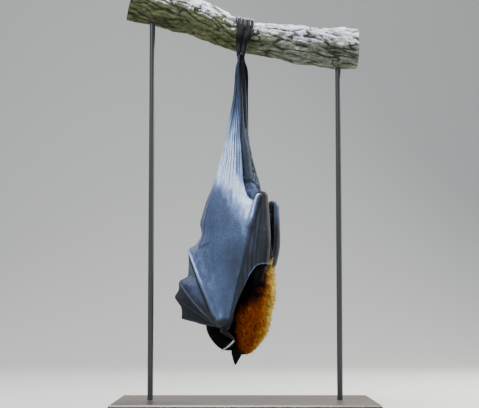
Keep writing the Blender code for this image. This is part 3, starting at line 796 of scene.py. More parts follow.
def sculpt_face(points, normals):
    """Displace the skin of the head: brow and lid rolls, mouth line, nostrils and a furrow down the nose."""
    local = points - BRAINCASE
    reach, up, out = local @ FACE, local @ CROWN, local[:, 1]
    move = np.zeros(len(points))
    for side in (1, -1):
        gap = np.linalg.norm(points - eye_centre(side), axis=1)
        move += 1.3 * hump(gap - EYE_RADIUS - 0.9, 1.5) * step(0, 1, normals[:, 1] * side)
        nostril = np.linalg.norm(points - (BRAINCASE + FACE * 58 + CROWN * -2.5 + [0, side * 3.2, 0]), axis=1)
        move += 0.9 * hump(nostril - 2.4, 1.1) - 2.2 * hump(nostril, 1.5)
    mouth_up = -8.5 + 0.05 * (58 - reach)
    on_mouth = step(MOUTH_CORNER, MOUTH_CORNER + 6, reach) * step(MOUTH_TIP, MOUTH_TIP - 4, reach)
    move -= 1.5 * hump(up - mouth_up, 0.8) * on_mouth
    move += 0.7 * hump(up - mouth_up - 2.4, 1.5) * on_mouth
    move -= 0.8 * hump(out, 0.9) * step(46, 52, reach) * step(-9, -4, up)
    near = step(-380, -384, points[:, 2]) * step(4, 12, points[:, 0])
    return points + normals * (move * near)[:, None]


BODY_VOXEL = 1.4
parts = [trunk_rings(), head_rings()]
for side, _ in SIDES:
    for path, radius in (limb_path(LEG[side]), limb_path(UPPER_ARM[side], side)):
        inset = radius - 0.4 - 1.3 * step(-80, -130, path[:, 2])
        parts.append(tube_points(*round_ended(path, inset), 24))
body = melt("body_skin", parts, BODY_VOXEL, HAIRED_SKIN)
place = sculpt_face(points_of(body), normals_of(body))
place = place + normals_of(body) * (0.5 * octaves(place, 12, 3, 5))[:, None]
move_points(body, place)
paint(body, "coat", coat_colour(place, 0.25), colour=True)
put(body, "dark_fur", "trunk", "neck", "head", "leg_right", "leg_left", "upper_arm_right", "upper_arm_left")


# %% [markdown]
# ## Eyes
# The bat is asleep, so heavy lids leave only a slit. Each eye is a ball with its own iris painted by angle,
# and two lids are thin shells that ride just over it.


# %% Eyes and lids
EYE_ROWS, EYE_SIDES = 30, 40
LID_GAP = 0.45                                  # how far the lids stand off the eyeball
LID_SHARE = 0.12                                # a lid's inner face lies this share nearer the middle
IRIS_END = 0.04                                 # radians left open at each pole


def sphere_patch(centre, pole, radius, low, high, rows):
    """Rings of part of a ball between two angles from its pole."""
    pole = unit(np.asarray(pole, float))
    side = unit(np.cross(pole, [0.1, 0.2, 0.97]))
    up = np.cross(side, pole)
    t = np.linspace(low, high, rows)[:, None, None]
    a = round_angles(EYE_SIDES)[None, :, None]
    return centre + radius * (pole * np.cos(t) + np.sin(t) * (side * np.cos(a) + up * np.sin(a)))


for side, label in SIDES:
    centre = eye_centre(side)
    gaze = unit(np.array([0.45, side * 0.86, 0.1]))
    rings = sphere_patch(centre, gaze, EYE_RADIUS, IRIS_END, math.pi - IRIS_END, EYE_ROWS)
    ball = joined_rings(f"eye_ball_{label}", [rings], EYE)
    paint(ball, "iris", np.repeat(np.linspace(IRIS_END, math.pi - IRIS_END, EYE_ROWS), EYE_SIDES))
    put(ball, "eye", f"eye_{label}")
    lids = []
    for towards, reach in ((1, 1.52), (-1, 1.28)):              # the upper lid, then the lower
        pole = unit(gaze * 0.25 + CROWN * towards)
        lid = sphere_patch(centre, pole, EYE_RADIUS + LID_GAP, 0.05, reach, 20)
        lids.append(np.concatenate([lid, blend(lid[::-1], centre, LID_SHARE)]))
    put(joined_rings(f"eyelids_{label}", lids, EAR_SKIN), "bare_skin")


# %% [markdown]
# ## Wings
# A folded wing is one sheet of skin that leaves the forearm and flank, runs round to the front, folds over
# the knuckles and comes back along the far side. It is laid out in rows: each row is two arcs, from the
# arm to the front fold and from the fold to the far edge. Bones, slack and creases are then pushed into it.

# %% Lines that guide the wing
# height of a row at the front fold, with u and s there
FRONT = [(-399, 101, -21), (-369.5, 112, -25), (-348.5, 105, -20), (-304, 88.5, -17), (-293, 76, -14.5),
         (-281, 67.5, -12), (-265.5, 68.5, -9), (-250, 62, -6), (-233.5, 54.5, -3), (-220, 47, -1),
         (-206, 41.5, 0), (-180, 33.2, 0.5), (-149, 26, 1), (-103, 17, 2), (-88, 14, 2.5), (-73, 12.2, 3),
         (-52, 11, 4), (-33, 10.5, 5)]
# height, u and s where the wing leaves the flank
FLANK = {
    1: [(-247, -18.5, 33), (-241.5, -21.5, 32), (-237, -16, 31), (-230, -10.5, 30), (-214, -6, 28.5),
        (-183, -3, 25.5), (-166, -1.5, 24), (-149, 1, 21.5), (-128, 1.5, 18.5), (-103, 2, 14.8),
        (-73, 4, 11.5), (-52, 6, 9.8), (-33, 6.5, 10.4)],
    -1: [(-252, -19.5, 33), (-246, -21, 32), (-240, -14, 31), (-232, -9, 30), (-212, -5, 28),
         (-183, -3, 25.5), (-166, -1.5, 24), (-149, 1, 21.2), (-128, 1, 18.6), (-103, 0, 14.4),
         (-88, -0.8, 11.2), (-73, -2, 8), (-52, -3.6, 3), (-33, -3, 1)],
}
# height of a row, with u and s of its far edge
FAR_EDGE = [(-399, 46, -43), (-366, 42, -45), (-343, 38, -46), (-300, 30, -45), (-266, 24, -42),
            (-232, 16, -38), (-206, 12, -33), (-183, 9, -29.5), (-149, 6, -25.5), (-128, 5, -22),
            (-103, 4, -18.5), (-73, 1, -12), (-52, -1, -6), (-33, -2.5, -2.5)]
# height of a row at the front, and where it starts at the forearm or flank
REAR_HEIGHT = [(-399, -411), (-300, -312), (-240, -243), (-206, -206), (-33, -33)]
KNUCKLES = (-399, -369.5, -348.5, -304)         # heights, from the second finger to the fifth
# between knuckles: share of the way up, and how deep the free edge hangs in
SCALLOPS = ([(0, 0), (0.5, 3.5), (1, 0)],
            [(0, 0), (0.5, 2.5), (1, 0)],
            [(0, 0), (0.1, 5.5), (0.206, 10.5), (0.35, 9), (0.65, 4), (1, 0)])
WING_TOP = {1: -30.0, -1: -32.0}
ANKLES = np.array([4.75, 5.4])                 # middle of both ankles, where the wings are drawn together


WRAP_START, WRAP_LENGTH = -396, 170             # from here up the wing winds ever tighter round the body
TUCK_START, TUCK_LENGTH = -95, 60               # from here down the left wing's far side goes deeper


def wing_controls(z, side):
    """Rear, side, front, far-side and end points of the rows at heights z, each n by 3, before mirroring."""
    wrap = np.clip((z - WRAP_START) / WRAP_LENGTH, 0, 1)[:, None]
    rear_z = curve(REAR_HEIGHT, z)
    flank = curve(FLANK[side], rear_z[:, 0])
    share = np.maximum((rear_z - ELBOW[2]) / (WRIST[2] - ELBOW[2]), 0)
    on_arm = blend(ELBOW, WRIST, share) + [FOREARM_RADIUS + 1.4, 0.5, 0]
    at_arm = rear_z < FLANK[side][0][0]
    rear = np.hstack([np.where(at_arm, on_arm[:, :2], flank), rear_z])
    front = np.column_stack([curve(FRONT, z), z])
    for low, high, depth in zip(KNUCKLES, KNUCKLES[1:], SCALLOPS):
        between = (z > low) & (z < high)
        front[between, 0] -= curve(depth, (z[between] - low) / (high - low))[:, 0]
    end = np.column_stack([curve(FAR_EDGE, z), z + 8 * (1 - wrap[:, 0])])
    belly = 4.0                                 # how far the far side bulges
    if side < 0:                                # the left wing lies under the right one
        room = np.clip((TUCK_START - z) / TUCK_LENGTH, 0, 1)[:, None]
        w, r = wrap[:, 0], room[:, 0]
        front = np.column_stack([front[:, 0] - 3 - 16 * (1 - w) ** 0.7, -front[:, 1] * 0.55 - 4 * w * r, z])
        deep = np.column_stack([front[:, 0] * 0.62, 14 * (1 - w) - 0.55 * rear[:, 1] * w, z])
        short = np.column_stack([front[:, 0] * 0.9, front[:, 1] - 2.5, z])
        end = blend(short, deep, room)
        belly = 5.0
    middle_z = (rear[:, 2] + front[:, 2]) / 2
    flat_side = (rear + front) / 2 + [5, 9, 0]
    round_side = np.column_stack([front[:, 0], rear[:, 1] + 4, middle_z])
    flat_far = (front + end) / 2 - [0, belly, 0]
    round_far = np.column_stack([front[:, 0], end[:, 1], (front[:, 2] + end[:, 2]) / 2])
    return rear, blend(flat_side, round_side, wrap), front, blend(flat_far, round_far, wrap), end


def arcs(a, b, c, t):
    """Points on curves from a to c that lean towards b, for each row and each share t."""
    t = t[None, :, None]
    return a[:, None] * (1 - t) ** 2 + b[:, None] * 2 * t * (1 - t) + c[:, None] * t**2


WING_ROWS, WRAP_COLUMNS, PALM_COLUMNS, TIP_COLUMNS = 300, 22, 100, 48
FOLD = WRAP_COLUMNS + PALM_COLUMNS              # number of the column at the front fold
CALM_ROWS = 24                                  # rows to each side that a row's smooth line follows


def wing_grid(side):
    """The plain sheet of one wing in the bat frame."""
    z = np.linspace(KNUCKLES[0], WING_TOP[side], WING_ROWS)
    rear, near, front, far, end = wing_controls(z, side)
    arm = at_height(FOREARM[side], rear[:, 2])        # the skin first wraps round the forearm
    angle = np.radians(np.linspace(240, 66, WRAP_COLUMNS))
    round_arm = np.repeat(rear[:, None], WRAP_COLUMNS, axis=1)
    round_arm[..., 0] = arm[:, :1] + (arm[:, 2:] + 0.5) * np.cos(angle)
    round_arm[..., 1] = arm[:, 1:2] + (arm[:, 2:] + 0.5) * np.sin(angle)
    on_arm = step(ARM_TOP[side] - 9, ARM_TOP[side] - 19, rear[:, 2])
    round_arm = blend(rear[:, None], round_arm, on_arm[:, None, None])
    share = np.linspace(0, 1, PALM_COLUMNS + 1)[1:]
    start, calm = round_arm[:, -1], along_wing(round_arm[:, -1])
    palm = arcs(calm, along_wing(near), front, share)
    palm = palm + (start - calm)[:, None] * (np.clip(1 - share / 0.3, 0, 1) ** 2)[None, :, None]
    tip = arcs(front, far, end, np.linspace(0, 1, TIP_COLUMNS + 1)[1:])
    grid = np.concatenate([round_arm, palm, tip], axis=1)
    for _ in range(5):                          # round the fold
        blurred = grid.copy()
        blurred[:, 1:-1] = (grid[:, :-2] + 2 * grid[:, 1:-1] + grid[:, 2:]) / 4
        grid = blend(grid, blurred, hump(np.arange(grid.shape[1]) - FOLD, 5.0)[None, :, None])
    grid = grid * [1, side, 1]
    gather = 0.20 * step(-66, -31, grid[..., 2:]) + 0.42 * step(-52, -32, grid[..., 2:])
    grid[..., :2] += (ANKLES - grid[..., :2]) * gather
    return grid


def along_wing(points):
    """Smooth a line of points down the wing, so that the elbow's bump stays at the wing's edge."""
    kernel = np.hanning(2 * CALM_ROWS + 1)
    padded = np.pad(points, ((CALM_ROWS, CALM_ROWS), (0, 0)), mode="reflect", reflect_type="odd")
    return np.stack([np.convolve(c, kernel / kernel.sum(), mode="valid") for c in padded.T], axis=1)


def wing_row_at(height, side):
    """Number of the row that passes the front fold at a height."""
    return int(round((height - KNUCKLES[0]) / (WING_TOP[side] - KNUCKLES[0]) * (WING_ROWS - 1)))


PALM_POINTS = 46                                # points of a finger's path up to its knuckle


def face_on(points):
    """X and height of points in the bat frame, in millimetres along the model's own axes."""
    return bat_to_world(points)[..., [0, 2]] / MM


def seen_across(points):
    """How far along the model's X axis points in the bat frame are, in millimetres from the grip."""
    return (bat_to_world(points)[:, 0] - GRIP[0]) / MM


def finger_lines(grid, side):
    """Paths of the finger bones over the sheet: straight from wrist to knuckle, then on round the fold."""
    palm = grid[:, WRAP_COLUMNS:FOLD]
    flat, wrist = face_on(palm.reshape(-1, 3)), face_on(WRIST * [1, side, 1])
    fingers = []
    # heights at the knuckle and at the far edge, start beside the wrist, bow of the bone
    for height, far_height, start, bow in ((-399, -376, 0, 0.0), (-369.5, -320, 2.5, 1.0),
                                           (-348.5, -272, 4.5, 3.4), (-304, -236, 5.5, 1.4)):
        row, far_row = wing_row_at(height, side), wing_row_at(far_height, side)
        share = np.linspace(0.02, 1, PALM_POINTS)[:, None]
        line = blend(wrist - [start, 0], face_on(grid[row, FOLD]), share)
        line = line - bow * np.sin(np.pi * share) * np.array([0.5, 0.8])
        nearest = [np.argmin(((flat - q) ** 2).sum(axis=1)) for q in line]
        path = palm.reshape(-1, 3)[nearest]
        columns = np.arange(FOLD, grid.shape[1] - 1)
        rows = np.linspace(row, far_row, len(columns)).round().astype(int)
        if height == KNUCKLES[0]:
            rows, columns = rows[:8], columns[:8]
        path = np.vstack([path, grid[rows, columns]])
        for _ in range(6):
            path[1:-1] = (path[:-2] + 2 * path[1:-1] + path[2:]) / 4
        fingers.append(path)
    return fingers


def distance_to(points, path):
    """Distance from each point to the nearest point of a path."""
    best = np.full(len(points), 1e9)
    for p in path:
        best = np.minimum(best, ((points - p) ** 2).sum(axis=1))
    return np.sqrt(best)


# %% [markdown]
# The sheet is then worked like clay. Skin stands up in ridges along the bones and hangs slack between them.
# Fine pleats gather towards the ankles, where the whole wing is drawn together. A few longer creases run
# down from the elbow, and one soft bulge has a sharp lower lip.


# %% Relief of the wing
def pleats(flat, share):
    """Two sizes of fold that run along the body, each from -1 in a furrow to 1 on a ridge."""
    wander = 2.6 * value_noise(flat * [1, 1, 0.15], 22, 21) + 0.6 * np.sin(flat[:, 2] / 40)
    coarse = np.sin(share * 2 * np.pi * 11 + wander)
    fine = np.sin(share * 2 * np.pi * 16 + 4.0 * value_noise(flat * [1, 1, 0.10], 14, 22))
    return coarse, ridged(fine, 2.2) * (0.7 + 0.5 * value_noise(flat * [1, 1, 0.25], 20, 27))


def palm_share(grid):
    """For each point, its share of the way along its row from the forearm to the fold."""
    rows, columns = grid.shape[:2]
    return np.tile((np.arange(columns) - WRAP_COLUMNS) / PALM_COLUMNS, rows)


def wing_relief(grid, fingers):
    """Outward push of each point of the sheet."""
    flat, share = grid.reshape(-1, 3), palm_share(grid)
    z = flat[:, 2]
    push = np.zeros(len(flat))
    nearest = np.full(len(flat), 1e9)
    for path, height in zip(fingers, (1.0, 1.1, 1.2, 1.7)):
        gap = distance_to(flat, path)
        nearest = np.minimum(nearest, gap)
        push += height * hump(gap, 2.6)
    hand = step(-285, -320, z)
    push -= 2.4 * (1 - hump(nearest, 11)) * hand
    coarse, fine = pleats(flat, share)
    push += coarse * (0.55 * step(-225, -120, z) + 0.12) + fine * 0.32 * step(-245, -150, z)
    push += 1.3 * value_noise(flat * [1, 1, 0.45], 34, 23) * step(-80, -140, z)
    push += 0.45 * value_noise(flat * [1, 1, 0.3], 9, 24)
    push += 0.12 * value_noise(flat * [1, 1, 0.4], 2.6, 25)
    # long creases that run down from the side: share of the row at top and bottom, heights, depth
    for top, bottom, high, low, depth in ((0.60, 0.66, -235, -312, 1.1), (0.50, 0.53, -250, -300, 0.8),
                                          (0.76, 0.80, -225, -290, 0.9), (0.87, 0.93, -215, -288, 1.0),
                                          (0.22, 0.20, -225, -262, 0.8), (0.34, 0.36, -300, -345, 0.6)):
        along = (z - high) / (low - high)
        line = blend(top, bottom, along) + 0.012 * value_noise(flat, 14, 26)
        fade = step(0, 0.2, along) * step(1, 0.7, along)
        push -= depth * hump(share - line, 0.012) * fade
        push += 0.5 * depth * hump(share - line - 0.03, 0.025) * fade
    # the soft bulge with a sharp lower lip
    across = (share - 0.62) / 0.17
    lip = -299 + 5 * across**2
    push += 2.0 * step(lip - 1.2, lip + 0.8, z) * np.exp(-np.clip(z - lip, 0, None) / 26) * np.exp(-across**4)
    edge = np.clip(share / 0.10, 0, 1)
    return (push * (0.15 + 0.85 * edge)).reshape(grid.shape[:2])


def wing_tone(grid, fingers, side):
    """How pale the skin is drawn, with painted light and shade in it: 0 dark to 1 pale."""
    flat, share = grid.reshape(-1, 3), palm_share(grid)
    z = flat[:, 2]
    tone = 0.62 + 0.06 * value_noise(flat * [1, 1, 0.5], 30, 31) + 0.04 * value_noise(flat, 6, 32)
    across = seen_across(flat * [1, side, 1])
    # a painted sheen over the cone, in a band that slants down and back to the elbow
    heights = (-304, -282, -254, -225, -197, -169, -105)
    middle = np.interp(z, heights, (6, 5, 0, -9, -23, -27, -20))
    half = np.interp(z, heights, (10, 13, 17, 22, 28, 30, 26))
    strength = np.interp(z, heights, (0.06, 0.22, 0.32, 0.40, 0.40, 0.32, 0.04))
    off = across - middle + 5 * value_noise(flat * [1, 1, 0.5], 13, 33)
    off /= half * (1 + 0.25 * (off > 0) * step(-215, -190, z))
    tone += strength * np.exp(-off**2) * (1 + 0.4 * value_noise(flat * [1, 1, 0.25], 4, 34))
    tone -= 0.32 * step(-132, -62, z)
    # painted highlights where slack skin bulges, beside the fifth finger and on the wrist; painted shade at
    # two spots
    for x, height, wide, tall, more in ((-14, -284, 18, 16, 0.07), (-58, -336, 20, 50, 0.10),
                                        (-36, -316, 20, 20, -0.09), (-14, -330, 12, 28, -0.05),
                                        (-34, -397, 4, 9, 0.20)):
        tone += more * np.exp(-((across - x) / wide) ** 2 - ((z - height) / tall) ** 2)
    # painted shade over the hand, deepening from the fifth finger to the second, and most at the wrist
    away = (bat_to_world(flat) - bat_to_world(WRIST * [1, side, 1]))[:, [0, 2]] / MM
    turn = np.degrees(np.arctan2(-away[:, 0] * side, away[:, 1]))
    tone -= np.interp(turn, (20, 27, 40, 47, 56, 62), (0, 0.08, 0.12, 0.36, 0.50, 0.62)) * step(-270, -300, z)
    tone -= 0.6 * step(17, 8, np.hypot(away[:, 0], away[:, 1]))
    # painted shade in the pleats' furrows and painted light on their ridges
    coarse, fine = pleats(flat, share)
    pleat_shading = step(-225, -170, z) * (0.45 + 0.75 * step(0.62, 0.30, share))
    tone += (0.08 * coarse + 0.12 * (fine - 0.3) - 0.42 * np.clip(0.3 - fine, 0, 1)) * pleat_shading
    # painted highlights along the fifth and fourth finger bones
    fifth, fourth = (distance_to(flat, fingers[k][:PALM_POINTS]) for k in (3, 2))
    tone += 0.42 * hump(fifth, 1.7) + 0.26 * hump(fourth, 1.2)
    by_height = fingers[3][:PALM_POINTS][np.argsort(fingers[3][:PALM_POINTS, 2])]
    line = seen_across(by_height * [1, side, 1])
    beside = np.interp(z, by_height[:, 2], line) - across           # painted shade in the crease before the finger
    tone -= 0.42 * hump(beside - 4.6, 2.2) * step(-396, -385, z) * step(-298, -312, z)
    tone -= 0.10 * step(0.22, 0.0, share) * step(-226, -262, z)
    # a painted highlight along the edge below the elbow
    tone += 0.42 * hump(share - 0.035, 0.022) * step(-268, -248, z) * step(-222, -232, z)
    tone -= 0.25 * step(1.05, 1.3, share)
    tone -= 0.22 * step(-0.06, -0.09, share)
    return np.clip(tone, 0, 1)


BONE_RADII = (1.5, 1.8, 1.9, 2.3)               # second to fifth finger
for side, label in SIDES:
    grid = wing_grid(side)
    fingers = finger_lines(grid, side)
    tone = wing_tone(grid, fingers, side)
    outward = sheet_normals(grid)
    if outward[100, 30, 1] * side < 0:          # a place on the palm, which faces away from the body
        outward = -outward
    relief = wing_relief(grid, fingers) * (1.0 if side > 0 else 0.6)
    half = 0.32 + 0.5 * hump(np.arange(grid.shape[1]) - 1, 2.5)             # thicker along the arm
    wing = thick_sheet(f"wing_{label}", grid + outward * relief[..., None], half[None, :], MEMBRANE)
    paint(wing, "tone", np.concatenate([tone, tone]))
    put(wing, "wing_membrane", f"wing_palm_{label}", f"wing_tip_{label}")

    tubes = []
    for path, radius in zip(fingers, BONE_RADII):
        number = np.arange(len(path))
        swell = radius * (0.62 + 0.38 * np.exp(-(number / 16.0))) + 0.75 * hump(number - PALM_POINTS, 2.2)
        taper = np.clip((len(path) - number) / 22, 0.35, 1)
        index = [np.argmin(((grid.reshape(-1, 3) - p) ** 2).sum(axis=1)) for p in path]
        lifted = path + outward.reshape(-1, 3)[index] * (0.8 if side > 0 else 0.3)
        tubes.append((lifted, swell * taper))
    bones = joined_tubes(f"finger_bones_{label}", tubes, MEMBRANE, 12)
    place = points_of(bones)
    z = place[:, 2]
    # painted shade over the bones of the hand, and painted highlights along the fifth and fourth fingers
    shade = 0.5 - 0.3 * step(-330, -372, z)
    for k, more in ((3, 0.62), (2, 0.34)):
        shade += more * hump(distance_to(place, fingers[k][:PALM_POINTS]), 3) * step(-404, -390, z)
    paint(bones, "tone", np.clip(shade, 0.05, 1))
    put(bones, "wing_membrane")

# %% [markdown]
# ## Arms, thumbs and the small web between
# The forearm is a bare, sinewy rod of skin down the side. A thumb with a long claw springs from the wrist,
# and a short web joins forearm and upper arm, with an arched free edge.


# %% Forearm, thumb and web
# share across the web, and the height of its free edge there: a strip by the forearm, then an arch
WEB_EDGE = [(0, -408), (0.12, -402), (0.20, -393), (0.27, -372), (0.33, -354), (0.38, -341),
            (0.45, -331), (0.55, -326.5), (0.70, -326), (0.85, -329), (1, -334)]


WEB_ROWS, WEB_COLUMNS = 110, 84


def web_folds(u, z):
    """Lengthways folds of the slack web: 1 on a ridge, -1 in a furrow."""
    return ridged(np.sin(u * 1.05 + z * 0.045 + 1.5 * np.sin(z / 23)), 1.6)


def web_grid(side):
    """Skin from the forearm to the upper arm and round it; both limbs meet in the elbow's dome at the top."""
    t = np.linspace(0, 1, WEB_COLUMNS)[None, :]
    edge = curve(WEB_EDGE, t[0]).T
    top = ARM_TOP[side] - 0.6
    z = blend(top, edge, np.linspace(0, 1, WEB_ROWS)[:, None] ** 1.3)
    arm, fore = (at_height(table[side], z.reshape(-1)).reshape(*z.shape, 3) for table in (UPPER_ARM, FOREARM))
    dome = np.sqrt(1 - np.clip((z - top + 8.4) / 8.6, 0, 1) ** 2)
    across, turn = step(0.16, 0.60, t), np.clip((t - 0.5) / 0.5, 0, 1)
    a = np.radians(95 + 170 * turn)
    start = np.interp(z, (-340, -274, -232), (132, 64, 56))         # the skin's border, round the forearm
    on_fore = np.radians(start + (137 - start) * np.clip(t / 0.22, 0, 1))
    u = fore[..., 0] + np.cos(on_fore) * (fore[..., 2] + 1.2) * dome
    s = fore[..., 1] + np.sin(on_fore) * (fore[..., 2] + 1.2) * dome
    u = blend(u, arm[..., 0] + np.cos(a) * (arm[..., 2] + 0.9) * dome, across)
    s = blend(s, arm[..., 1] + np.sin(a) * (arm[..., 2] + 0.9) * dome, across)
    slack = np.sin(np.pi * across) * step(-235, -275, z)
    s = s - 2.4 * slack + web_folds(u, z) * 0.9 * slack
    return np.stack([u, side * s, z], axis=-1)


ARM_SIDES = 32
THUMB_POINTS = 50                               # along the whole thumb
THUMB_SKIN_END, THUMB_CLAW_START = 27, 25       # points where its skin ends and its claw starts
for side, label in SIDES:
    path, radii = limb_path(FOREARM[side], side, 120)
    below = path[:, 2] < ARM_TOP[side] - 5
    rings = tube_points(*round_ended(path[below], radii[below] - 0.2), ARM_SIDES)
    outward = unit(rings - rings.mean(axis=1, keepdims=True))
    angle = round_angles(ARM_SIDES)[None, :]
    sinew = 0.35 * np.cos(3 * angle + rings[..., 2] * 0.02) + 0.35 * value_noise(rings * [1, 1, 0.25], 5, 41)
    rings = rings + outward * (sinew + 0.15 * value_noise(rings, 1.6, 42))[..., None]
    put(joined_rings(f"forearm_skin_{label}", [rings], ARM_SKIN), "bare_skin", f"forearm_{label}")

    path, radii = limb_path(THUMB, side, THUMB_POINTS)
    wrinkles = 0.2 * np.cos(np.linspace(0, 12, THUMB_SKIN_END))
    flesh = [(path[:THUMB_SKIN_END], radii[:THUMB_SKIN_END] + wrinkles)]
    put(joined_tubes(f"thumb_skin_{label}", flesh, EAR_SKIN, 16), "bare_skin", f"thumb_{label}")
    claw = [(path[THUMB_CLAW_START:], np.linspace(1.5, 0.32, THUMB_POINTS - THUMB_CLAW_START))]
    put(joined_tubes(f"thumb_claw_{label}", claw, HIGHLIT_THUMB_CLAW), "claw")

    grid = web_grid(side)
    web = thick_sheet(f"web_{label}", grid, 0.45, MEMBRANE)
    down, over = np.meshgrid(np.linspace(0, 1, WEB_ROWS), np.linspace(0, 1, WEB_COLUMNS), indexing="ij")
    z = grid[..., 2]
    shade = 0.30 + 0.10 * value_noise(grid * [1, 1, 0.4], 8, 43) + 0.06 * value_noise(grid, 2.5, 44)
    # painted light on the folds' ridges and painted shade in their furrows
    shade += 0.05 * web_folds(grid[..., 0], z) * step(0.15, 0.3, over) * step(-235, -275, z)
    shade += 0.42 * step(0.975, 0.995, down) * step(0.25, 0.4, over)            # pale rim of the arch
    # painted highlights along the elbow's side rim and over its top
    shade += (0.75 * hump(over, 0.10) * step(-276, -256, z)
              + 0.75 * step(0.08, 0.01, down) * step(0.5, 0.3, over))
    shade += 0.17 * hump(over, 0.22) * step(-256, -276, z)
    # a painted highlight over the far arm's top
    shade += (0.20 if side < 0 else 0.0) * step(-274, -250, z)
    # painted shade on the near web's far part, in the hollow between the elbows; a little lighter on the far
    # web
    shade += (-0.25 if side > 0 else 0.08) * step(0.80, 0.95, over)
    paint(web, "tone", np.clip(np.tile(shade.reshape(-1), 2), 0, 1))
    put(web, "wing_membrane", f"front_web_{label}")


# %% [markdown]
# ## Ears
# A flying fox has plain pointed ears, cupped towards the front and dark all over, with a thin paler rim.


# %% Ears
EAR_ROWS, EAR_COLUMNS = 60, 34
EAR_WIDTH = [(0, 7.5), (0.25, 8.6), (0.5, 7.4), (0.75, 4.4), (0.92, 1.8), (1, 0.4)]
EAR_BEND = 1.35                                 # radians from an ear's middle line to its rim


def ear_grid(side):
    """A cupped leaf of an ear, from its root to its tip."""
    root = np.array([14, side * 16, -428.0])
    tip = np.array([18, 39, -441.5]) if side > 0 else np.array([24, -31, -464.0])
    along = unit(tip - root)
    across = unit(np.cross(along, FACE * 0.6 + [0, side * 0.8, 0]))
    front = np.cross(across, along)
    share = np.linspace(0, 1, EAR_ROWS)
    breadth = curve(EAR_WIDTH, share)
    w = np.linspace(-1, 1, EAR_COLUMNS)
    cup = 3.4 * np.sin(np.pi * np.clip(share * 0.9 + 0.12, 0, 1)) ** 0.7
    bow = -2.0 * np.sin(np.pi * share)
    centre = blend(root, tip, share[:, None]) + front * bow[:, None]
    return (centre[:, None] + across * (breadth * np.sin(w * EAR_BEND) / math.sin(EAR_BEND))[..., None]
            + front * (cup[:, None] * (w[None, :] ** 2) - cup[:, None] * 0.5)[..., None])


for side, label in SIDES:
    grid = ear_grid(side)
    grid = grid + 0.3 * value_noise(grid, 5, 51)[..., None]
    half = np.linspace(1.1, 0.35, EAR_ROWS)[:, None]            # thinner towards the tip
    put(thick_sheet(f"ear_shell_{label}", grid, half, EAR_SKIN), "bare_skin", f"ear_{label}")


# %% [markdown]
# ## Feet
# Each foot grips the branch with five toes of like length. Soles and toes melt into one skin; claws arch
# over the top of the branch and shine like horn.

# %% Feet and claws
BRANCH_LINE = [(-170, 56), (-123, 42), (-66, 26), (-10, 2), (18, -3), (75, -11), (145, -17), (170, -18)]
BRANCH_RADIUS = [(-170, 26), (-66, 26), (-12, 22.5), (14, 22.5), (75, 26), (145, 28), (170, 28)]
GRIP_RADIUS = 22.5
FOOT_ROOM = 0.9                                 # added to the grip's radius, to clear the bark
FOOT_VOXEL = 0.33
FOOT = {1: (-9.2, -6.5), -1: (-3.0, 6.5)}       # X at the ankle and at the toes
# angle over the branch, how far out from its surface, radius
TOE_BEND = [(2, 2.4, 1.5), (22, 1.9, 1.05), (44, 1.9, 1.0), (60, 2.5, 1.02), (74, 4.4, 0.95), (86, 4.6, 0.75),
            (98, 2.6, 0.5), (106, 0.2, 0.22)]
TOES = 5
TOE_POINTS = 44                                 # along a toe and its claw
TOE_SKIN_END, TOE_CLAW_START = 28, 26           # points where the skin ends and the claw starts


def over_branch(x, degrees, out):
    """Points over the branch, angle up from its front face, out from its surface."""
    x, a, out = np.broadcast_arrays(np.asarray(x, float), np.radians(degrees), np.asarray(out, float))
    reach = GRIP_RADIUS + FOOT_ROOM + out
    return np.stack([x, -reach * np.cos(a), curve(BRANCH_LINE, x)[:, 0] + reach * np.sin(a)], axis=-1)


def toe_line(toe_x, n):
    """Path and radii of one toe and claw: the joints swell, and the claw arches up and over the bark."""
    degrees = np.linspace(TOE_BEND[0][0], TOE_BEND[-1][0], TOE_POINTS)
    out, radius = curve(TOE_BEND, degrees).T
    spread = 0.55 + 0.45 * step(6, 50, degrees)
    x = toe_x + ((n - 2) * 2.55 + 0.3 * np.sin(2.4 * n + toe_x)) * spread
    radius = radius + 0.22 * hump(degrees - 34, 5) + 0.2 * hump(degrees - 56, 5)
    return over_branch(x, degrees - 3 * abs(n - 2) + 2.5 * np.sin(3.7 * n + toe_x), out), radius


for side, label in SIDES:
    ankle_x, toe_x = FOOT[side]
    share = np.linspace(0, 1, 40)
    low = (ankle_x, -28.5, -33.0)
    heel, middle, end = over_branch(ankle_x + (toe_x - ankle_x) * np.array([0.15, 0.6, 1]), [-36, -12, 14],
                                    [5.0, 3.4, 2.6])
    sole = curve([(0, *low), (0.34, *heel), (0.68, *middle), (1, *end)], share)
    width = curve([(0, 2.7), (0.25, 3.6), (0.6, 4.6), (0.85, 4.8), (1, 1.6)], share)[:, 0]
    depth = curve([(0, 2.5), (0.3, 3.0), (0.7, 2.1), (0.85, 1.5), (1, 0.5)], share)[:, 0]
    a = round_angles(28)[None, :, None]
    along = unit(np.gradient(sole, axis=0))
    across = unit(np.array([1, 0, 0]) - along * along[:, :1])
    out = np.cross(along, across)
    rings = sole[:, None] + (across[:, None] * np.cos(a) * width[:, None, None]
                             + out[:, None] * np.sin(a) * depth[:, None, None])
    parts, claws = [rings], []
    for n in range(TOES):
        path, radius = toe_line(toe_x, n)
        parts.append(tube_points(*round_ended(path[:TOE_SKIN_END], radius[:TOE_SKIN_END]), 14))
        narrowing = np.linspace(1.0, 0.8, TOE_POINTS - TOE_CLAW_START)
        claws.append((path[TOE_CLAW_START:], radius[TOE_CLAW_START:] * narrowing))
    skin = melt(f"foot_skin_{label}", parts, FOOT_VOXEL, FOOT_SKIN, 3, branch_to_world)
    put(skin, "bare_skin", f"foot_{label}")
    put(joined_tubes(f"foot_claws_{label}", claws, CLAW, world=branch_to_world), "claw")


# %% [markdown]
# ## The branch
# A cut length of an old limb: fissured lengthways, knobbly, and crusted with lichen on top. The surface is a
# fine grid of rings pushed in and out by noise that is stretched along the grain.

# %% Branch
BRANCH_RINGS, BRANCH_SIDES = 380, 190
BRANCH_REACH = 160                              # to each sawn end


